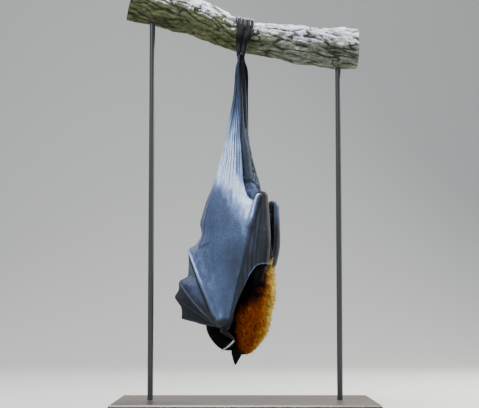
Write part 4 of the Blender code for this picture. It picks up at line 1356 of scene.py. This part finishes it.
def branch_shape():
    """Points of the branch's surface, with how deep each lies in a fissure and how high it stands."""
    x = np.linspace(-BRANCH_REACH, BRANCH_REACH, BRANCH_RINGS)
    height = curve(BRANCH_LINE, x)[:, 0]
    radius = curve(BRANCH_RADIUS, x)[:, 0]
    slope = np.gradient(height, x)
    up = np.stack([-slope, 0 * slope, np.ones_like(slope)], axis=1)
    up = up / np.linalg.norm(up, axis=1, keepdims=True)
    a = round_angles(BRANCH_SIDES)
    away = np.clip((np.abs(x) - 26) / 30, 0, 1)[:, None]
    lump = away * (1.3 * np.sin(3 * a + x[:, None] * 0.05) + 1.0 * np.sin(x[:, None] * 0.11 + 2 * a))
    direction = up[:, None] * np.cos(a)[None, :, None] + np.array([0, 1, 0]) * np.sin(a)[None, :, None]
    base = np.stack([x, 0 * x, height], axis=1)[:, None] + (radius[:, None] + lump)[..., None] * direction
    turn = a + x[:, None] * 0.006               # the grain winds slowly round the branch
    twist = np.stack([x[:, None] * 0.22 + 0 * a, 30 * np.cos(turn), 30 * np.sin(turn)], axis=-1)
    warp = 4.0 * np.stack([value_noise(base, 18, seed) for seed in (61, 62, 63)], axis=-1)
    strand = np.abs(value_noise(twist + warp * 0.8, 6.0, 64))
    small = np.abs(value_noise(twist * [1.5, 1, 1] + warp * 0.6, 3.0, 65))
    fissure = np.clip(1 - strand * 3.2, 0, 1) ** 1.3
    cord = np.sqrt(np.clip(strand * 1.6, 0, 1)) * 2.6 + np.sqrt(np.clip(small * 1.6, 0, 1)) * 1.1 - 2.6
    free = step(9, 24, np.abs(x - 0.5))[:, None] + 0 * a
    crumbs = np.clip(octaves(base, 5.0, 3, 67), 0, 1)
    push = cord + 0.9 * value_noise(base, 16, 68) + 1.3 * crumbs * step(0.2, 0.9, np.cos(a))[None, :]
    push = np.where(push > 0, push * (0.1 + 0.9 * free), push * (0.4 + 0.6 * free))
    rings = base + direction * push[..., None]
    wrapped = np.concatenate([rings[:, -1:], rings, rings[:, :1]], axis=1)
    facing = np.abs(sheet_normals(wrapped)[:, 1:-1, 2]) * np.sign(np.cos(a))[None, :]
    top = 0.6 * np.cos(a)[None, :] + 0.55 * facing + 0.22 * value_noise(base, 24, 66)
    top = top + 0.25 * np.clip(push, -2, 2) / 2
    return rings, np.clip(fissure + 0.5 * np.clip(1 - small * 4, 0, 1), 0, 1), top


rings, fissure, top = branch_shape()
branch = joined_rings("branch", [rings], BARK, branch_to_world)
shell = bmesh.new()                             # the ends get plates of their own below
shell.from_mesh(branch.data)
bmesh.ops.delete(shell, geom=[face for face in shell.faces if len(face.verts) > 4], context="FACES_ONLY")
shell.to_mesh(branch.data)
shell.free()
paint(branch, "fissure", fissure)
paint(branch, "crust", np.clip(0.36 + 0.42 * top, 0, 1))
put(branch, "bark", "perch")

# sawn ends: a plate over each, with growth rings and a few drying cracks
PLATE_SHARES = np.linspace(0.02, 1.0, 34)       # of the way from the pith to the bark
CRACKS = ((0.6, 0.1), (2.3, 0.35), (3.5, 0.02), (4.4, 0.5), (5.5, 0.3))     # angle, share where it starts
for end, out, label in ((0, -1, "high"), (-1, 1, "low")):
    rim = rings[end]
    middle = rim.mean(axis=0) + [0, 2.5, -1.5]
    share = np.append(PLATE_SHARES, 0.97)[:, None]
    spokes = rim - middle
    length = np.linalg.norm(spokes, axis=1, keepdims=True)
    even = spokes / length * length.mean()
    plate = middle + share[..., None] * blend(even, spokes, share[..., None] ** 4)
    plate[..., 0] += out * np.append(0.9 - 0.8 * PLATE_SHARES**8, -1.2)[:, None]
    around = round_angles(BRANCH_SIDES)[None, :] + 0.1 * np.sin(4 * share)
    cracks = 0
    for a, low in CRACKS:
        away = np.abs((around - a + np.pi) % (2 * np.pi) - np.pi)
        cracks = cracks + hump(away * share, 0.026) * step(low, low + 0.2, share)
    sawn = joined_rings(f"branch_end_{label}", [plate], CUT_WOOD, branch_to_world)
    paint(sawn, "ring", np.broadcast_to(share, plate.shape[:2]))
    paint(sawn, "fissure", np.clip(cracks, 0, 1))
    put(sawn, "bark")


# %% [markdown]
# Lichen also grows as loose curled scales. Geometry Nodes scatter small lumpy discs over the upper bark: the
# points follow a painted density, each disc is turned to the surface and sized at random, and the result is
# turned into one plain mesh.


# %% Lichen scales by Geometry Nodes
def lichen_scale():
    """One thin, wavy, closed disc, a few dozen faces."""
    made = bmesh.new()
    bmesh.ops.create_uvsphere(made, u_segments=9, v_segments=5, radius=1.0)
    for v in made.verts:
        turn = math.atan2(v.co.y, v.co.x)
        reach = 1 + 0.22 * math.sin(3 * turn) + 0.1 * math.sin(5 * turn + 1)
        curl = 0.12 * math.hypot(v.co.x, v.co.y) ** 2
        v.co = Vector((v.co.x * reach, v.co.y * reach, v.co.z * 0.22 + curl))
    mesh = bpy.data.meshes.new("lichen_scale")
    made.to_mesh(mesh)
    made.free()
    mesh.shade_smooth()
    return bpy.data.objects.new("lichen_scale", mesh)


def lichen_tree(source, finish):
    """Points on painted faces, a scale on each, made real."""
    tree = bpy.data.node_groups.new("scatter_lichen", "GeometryNodeTree")
    face = tree.interface
    face.new_socket("Geometry", in_out="INPUT", socket_type="NodeSocketGeometry")
    face.new_socket("Geometry", in_out="OUTPUT", socket_type="NodeSocketGeometry")
    sizes = {}
    for name in ("Density", "Smallest", "Largest"):
        sizes[name] = face.new_socket(name, in_out="INPUT", socket_type="NodeSocketFloat").identifier
    make = tree.nodes.new
    start, out = make("NodeGroupInput"), make("NodeGroupOutput")
    scatter = make("GeometryNodeDistributePointsOnFaces")
    scatter.inputs["Seed"].default_value = 4
    where = make("GeometryNodeInputNamedAttribute")
    where.inputs["Name"].default_value = "crust"
    amount = make("ShaderNodeMath")
    amount.operation = "MULTIPLY"
    disc = make("GeometryNodeObjectInfo")
    disc.inputs["Object"].default_value = source
    place = make("GeometryNodeInstanceOnPoints")
    size = make("FunctionNodeRandomValue")
    size.inputs["Seed"].default_value = 9
    real, dress = make("GeometryNodeRealizeInstances"), make("GeometryNodeSetMaterial")
    dress.inputs["Material"].default_value = finish
    for node, output, taker, socket in (
            (start, "Geometry", scatter, "Mesh"), (where, "Attribute", amount, 0),
            (start, "Density", amount, 1), (amount, 0, scatter, "Density"),
            (scatter, "Points", place, "Points"), (scatter, "Rotation", place, "Rotation"),
            (disc, "Geometry", place, "Instance"),
            (start, "Smallest", size, 2), (start, "Largest", size, 3), (size, 1, place, "Scale"),
            (place, "Instances", real, "Geometry"), (real, "Geometry", dress, "Geometry"),
            (dress, "Geometry", out, "Geometry")):
        tree.links.new(node.outputs[output], taker.inputs[socket])
    return tree, sizes


def lichen_finish():
    """Pale, dry and mealy."""
    f = Finish("lichen", 0.9, Specular_IOR_Level=0.2)
    return f.done(f.ramp(f.noise(420, 5, 0.7), (0.3, (0.34, 0.34, 0.35)), (0.7, (0.72, 0.72, 0.75))),
                  f.bump(f.noise(1500, 4), 0.0004, 0.6))


bed = add_object("lichen_bed", branch.data.copy())
bed_points = (np.array([v.co for v in bed.data.vertices]) - GRIP) / MM
crust = step(0.35, 0.95, top.reshape(-1)) * step(15, 26, np.abs(bed_points[:, 0]))
crust = crust * step(-0.1, 0.35, value_noise(bed_points, 14, 71))
crust = crust * (np.abs(bed_points[:, 0]) < BRANCH_REACH - 4)
bed.data.attributes.remove(bed.data.attributes["crust"])
paint(bed, "crust", crust)
scale_shape = lichen_scale()
tree, sizes = lichen_tree(scale_shape, lichen_finish())
grow = bed.modifiers.new("lichen", "NODES")
grow.node_group = tree
for name, value in (("Density", 52000.0), ("Smallest", 0.0007), ("Largest", 0.0021)):
    grow[sizes[name]] = value
scales_mesh = bpy.data.meshes.new_from_object(bed.evaluated_get(bpy.context.evaluated_depsgraph_get()))
bpy.data.objects.remove(bed)
bpy.data.objects.remove(scale_shape)
put(add_object("lichen_scales", scales_mesh), "bark")


# %% [markdown]
# ## The coat
# Fur is made of tufts: thin, closed, pointed locks that start under the skin and lean with the lie of the
# coat. Thousands of roots are drawn on the skin by area and by how dense the coat is there. Each tuft
# carries the coat's colour, dark at the root, and a tiny patch of the bake map at its root's place.


# %% Roots on the skin
def skin_triangles(piece):
    """Corner numbers of a piece's triangles."""
    mesh = piece.data
    mesh.calc_loop_triangles()
    index = np.empty(len(mesh.loop_triangles) * 3, np.int32)
    mesh.loop_triangles.foreach_get("vertices", index)
    return index.reshape(-1, 3)


SKIN_POINTS = points_of(body)
SKIN_NORMALS = normals_of(body)
SKIN_TRIANGLES = skin_triangles(body)


def draw_roots(count, density):
    """Random places on the skin with their normals; density gives a weight at each place."""
    corners = SKIN_POINTS[SKIN_TRIANGLES]
    edges = corners[:, 1:] - corners[:, :1]
    area = 0.5 * np.linalg.norm(np.cross(edges[:, 0], edges[:, 1]), axis=1)
    weight = area * density(corners.mean(axis=1))
    pick = RANDOM.choice(len(area), count, p=weight / weight.sum())
    r = RANDOM.random((count, 2))
    flip = r.sum(axis=1) > 1
    r[flip] = 1 - r[flip]
    share = np.column_stack([1 - r.sum(axis=1), r])[..., None]
    chosen = SKIN_TRIANGLES[pick]
    return (SKIN_POINTS[chosen] * share).sum(axis=1), unit((SKIN_NORMALS[chosen] * share).sum(axis=1))


# %% Tufts
TUFT_SIDES = 3
ROOT_DEPTH = 0.6                                # how far under the skin a tuft starts
PATCH = 0.003                                   # size of a tuft's patch on the bake map


def tuft_mesh(name, roots, normals, lean, length, width, droop, steps, unwrap, pull=0.0):
    """One coat piece: a closed three-sided lock on each root, in this many steps up to its tip."""
    count = len(roots)
    along = unit(lean)
    side = unit(np.cross(along, normals) + 1e-6)
    t = np.linspace(0, 1, steps + 1)
    centre = (roots - normals * ROOT_DEPTH)[:, None] + (along * length[:, None])[:, None] * t[None, :, None]
    centre = centre + (droop * length[:, None] + pull)[:, None] * (t**2)[None, :, None]
    up = np.cross(side, along)
    girth = width[:, None] * (1 - 0.25 * t - 0.55 * t**3)[None, :]
    rings = []
    for k in range(TUFT_SIDES):
        a = 2 * math.pi * k / TUFT_SIDES
        rings.append(centre[:, :-1] + (side * math.cos(a))[:, None] * girth[:, :-1, None]
                     + (up * math.sin(a))[:, None] * girth[:, :-1, None] * 0.6)
    lock = np.stack(rings, axis=2).reshape(count, steps * TUFT_SIDES, 3)
    points = np.concatenate([lock, centre[:, -1:]], axis=1)
    per = steps * TUFT_SIDES + 1
    start = np.arange(count)[:, None, None] * per
    quads = start + grid_faces(steps, TUFT_SIDES, wrap=True)
    last = per - 1 - TUFT_SIDES                 # first corner of the last ring below the tip
    ends = start + np.array([[last + k, last + (k + 1) % TUFT_SIDES, per - 1] for k in range(TUFT_SIDES)]
                            + [[2, 1, 0]])
    piece = mesh_piece(name, points, [quads.reshape(-1, 4), ends.reshape(-1, 3)], HAIR)
    share = np.append(np.repeat(t[:-1], TUFT_SIDES), 1.0)
    colour = coat_colour(np.repeat(roots, per, axis=0), np.tile(share, count))
    shade = RANDOM.normal(1.0, 0.16, count).clip(0.6, 1.5)
    paint(piece, "coat", np.clip(colour * np.repeat(shade, per)[:, None], 0, 1), colour=True)
    corner = np.append(np.tile(np.arange(TUFT_SIDES), steps), 1)
    patch = np.column_stack([PATCH * (share - 0.5), PATCH * (corner / 2 - 0.5)])
    where = unwrap(roots)[:, None] + patch
    layer = piece.data.uv_layers.new(name="OFBake")
    loops = np.empty(len(piece.data.loops), np.int32)
    piece.data.loops.foreach_get("vertex_index", loops)
    layer.data.foreach_set("uv", where.reshape(-1, 2)[loops].astype(np.float32).reshape(-1))
    return piece


def clump(roots, tips, size, strength):
    """How far each tuft's tip is drawn to that of the chosen neighbour that leads its clump."""
    leaders = RANDOM.choice(len(roots), max(len(roots) // size, 1), replace=False)
    tree = kdtree.KDTree(len(leaders))
    for n, leader in enumerate(leaders):
        tree.insert(roots[leader], n)
    tree.balance()
    nearest = leaders[[tree.find(root)[1] for root in roots]]
    return (tips[nearest] - tips) * strength


def on_map(angle, share):
    """Places on the bake map inside its margin: angle across, share of the height up."""
    return 0.02 + 0.96 * np.column_stack([angle / (2 * math.pi) % 1, np.clip(share, 0, 1)])


def round_unwrap(centre_line, low, high):
    """An unwrap round a limb or the trunk between two heights."""
    def unwrap(points):
        middle = centre_line(points)
        angle = np.arctan2(points[:, 1] - middle[:, 1], points[:, 0] - middle[:, 0])
        return on_map(angle, (points[:, 2] - low) / (high - low))
    return unwrap


def trunk_axis(points):
    """The trunk's middle at each point's height."""
    return np.column_stack([curve(TRUNK, points[:, 2])[:, 0], 0 * points[:, 0]])


def outside_wings(points):
    """1 where the coat can be seen, less on the belly, which the wings cover."""
    u, _, z = points.T
    return 1 - 0.93 * (step(2, 14, u) * step(-415, -400, z))


# %% [markdown]
# Hair on the back lies towards the feet. The mantle's hair is longest; it stands out and droops towards the
# head. On the face the tufts are tiny and lie back from the nose.


# %% Growing the coat
DOWN = np.array([0, 0, -1.0])


def is_head(points):
    """1 on the head, without the nape."""
    return step(1, 9, points[:, 0] + slope_to_face(points[:, 2])) * step(-370, -382, points[:, 2])


def is_limb(points):
    """1 on legs and upper arms, which lie off the trunk's own sections."""
    middle, depth, width = curve(TRUNK, points[:, 2]).T
    inset = coat_depth(points[:, 2])
    off = np.hypot((points[:, 0] - middle) / np.maximum(depth - inset, 1),
                   points[:, 1] / np.maximum(width - inset, 1))
    return np.where(points[:, 2] > TRUNK_END, 1.0, step(1.06, 1.15, off)) * (1 - is_head(points))


def waves(points, size, seed):
    """Level vectors that turn this way and that over the coat."""
    return np.column_stack([value_noise(points, size, seed), value_noise(points, size, seed + 1),
                            0 * points[:, 0]])


def mantle_density(points):
    """How thick the mantle's tufts stand at places on the skin."""
    return ((0.04 + mantle_share(points)) * (points[:, 2] < MANTLE_TOP + 9) * (1 - 0.9 * is_head(points))
            * (1 - 0.9 * is_limb(points)) * outside_wings(points))


def grow_mantle(count, pieces):
    """The mantle's long tufts, in a few pieces side by side round the neck."""
    roots, normals = draw_roots(count, mantle_density)
    comb = DOWN + 0.55 * waves(roots, 16, 81)
    lean = unit(normals * 0.85 + comb * 0.5 + RANDOM.normal(0, 0.14, roots.shape))
    length = RANDOM.normal(9.8, 1.8, count).clip(5, 14) * (1 - 0.5 * step(-405, -440, roots[:, 2]))
    round_back = np.degrees(np.arctan2(np.abs(roots[:, 1]), -(roots[:, 0] + 2)))
    length = length * (0.6 + 0.4 * mantle_share(roots)) * (1 - 0.35 * step(75, 100, round_back))
    length *= 1 - 0.62 * is_limb(roots) * step(-375, -350, roots[:, 2])      # short on the upper arms
    width = RANDOM.normal(0.44, 0.08, count).clip(0.25, 0.7)
    pull = clump(roots, roots + lean * length[:, None], 11, 0.62)
    order = np.argsort(np.arctan2(roots[:, 1], roots[:, 0]))
    for n, part in enumerate(np.array_split(order, pieces)):
        piece = tuft_mesh(f"coat_mantle_{n + 1}", roots[part], normals[part], lean[part], length[part],
                          width[part], DOWN * 0.16, 3, round_unwrap(trunk_axis, -452, -315), pull[part])
        put(piece, "mantle_fur")


def grow_short(name, count, density, comb, long, wide, unwrap, lift):
    """One piece of short hair, combed along the skin; lift is how far it stands off."""
    roots, normals = draw_roots(count, density)
    direction = comb(roots)
    direction = unit(direction - normals * (direction * normals).sum(axis=1, keepdims=True))
    lean = direction + normals * lift + RANDOM.normal(0, 0.12, roots.shape)
    length = RANDOM.normal(long, long * 0.16, count).clip(long * 0.5, long * 1.5)
    width = RANDOM.normal(wide, wide * 0.15, count).clip(wide * 0.5, wide * 1.5)
    order = np.argsort(roots[:, 2])
    roots, normals, lean, length, width = (a[order] for a in (roots, normals, lean, length, width))
    put(tuft_mesh(name, roots, normals, lean, length, width, -unit(normals) * 0.10, 2, unwrap), "dark_fur")


def head_unwrap(points):
    """An unwrap round the line from braincase to nose."""
    local = points - BRAINCASE
    return on_map(np.arctan2(local[:, 1], local @ CROWN), (local @ FACE + 22) / 84)


def off_eyes(points):
    """0 over the eyes, nose pad and lips, which stay bare."""
    keep = np.ones(len(points))
    for side, _ in SIDES:
        gap = np.linalg.norm(points - eye_centre(side), axis=1)
        keep *= step(EYE_RADIUS + 0.2, EYE_RADIUS + 1.4, gap)
    return keep * step(55.5, 52.5, (points - BRAINCASE) @ FACE)


def towards_back(points):
    """Hair on the head runs from the nose back over the crown."""
    return np.broadcast_to(-FACE, points.shape) + 0.15 * value_noise(points, 10, 91)[:, None]


def towards_feet(points):
    """Hair on the back and the legs runs up to the feet, in slow waves."""
    return -DOWN + 0.35 * waves(points, 18, 92)


def behind_legs(points):
    """A line up behind both legs, for the unwrap of all limbs together."""
    return np.column_stack([0 * points[:, 0] - 8, 0 * points[:, 0]])


grow_mantle(30000, 4)
grow_short("coat_back_1", 15000, lambda p: (p[:, 2] > MANTLE_TOP - 5) * (1 - is_limb(p)) * outside_wings(p),
           towards_feet, 7.0, 0.42, round_unwrap(trunk_axis, -335, -130), lift=0.30)
grow_short("coat_head_1", 17000, lambda p: is_head(p) * off_eyes(p),
           towards_back, 4.4, 0.30, head_unwrap, lift=0.34)
grow_short("coat_limbs_1", 11000,
           lambda p: is_limb(p) * (p[:, 2] > -222) * step(-48, -80, p[:, 2]) * (0.2 + outside_wings(p)),
           towards_feet, 3.4, 0.30, round_unwrap(behind_legs, -350, -20), lift=0.14)

# %% [markdown]
# ## The stand
# The base keeps its solid and only takes a finish of dark stained wood. The rods are made rounder than
# their solids, in satin paint.

# %% Stand finishes
ROD_SIDES = 64
END_RING = 1e-4                                 # a second ring this near each end keeps the edge crisp
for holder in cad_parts["stand_base"].material_slots:
    holder.material = STAND_WOOD
for label in ("left", "right"):
    name = f"stand_rod_{label}"
    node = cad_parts[name]
    corners = np.array([node.matrix_world @ Vector(corner) for corner in node.bound_box])
    low, high = corners.min(axis=0), corners.max(axis=0)
    a = round_angles(ROD_SIDES)
    radius = (high[0] - low[0]) / 2
    circle = (low + high) / 2 * [1, 1, 0] + np.column_stack([np.cos(a), np.sin(a), 0 * a]) * radius
    heights = np.array([low[2], low[2] + END_RING, high[2] - END_RING, high[2]])
    rings = circle[None] + heights[:, None, None] * [0, 0, 1]
    put(joined_rings(f"{name}_round", [rings], ROD_PAINT, np.asarray), "stand_metal", name)
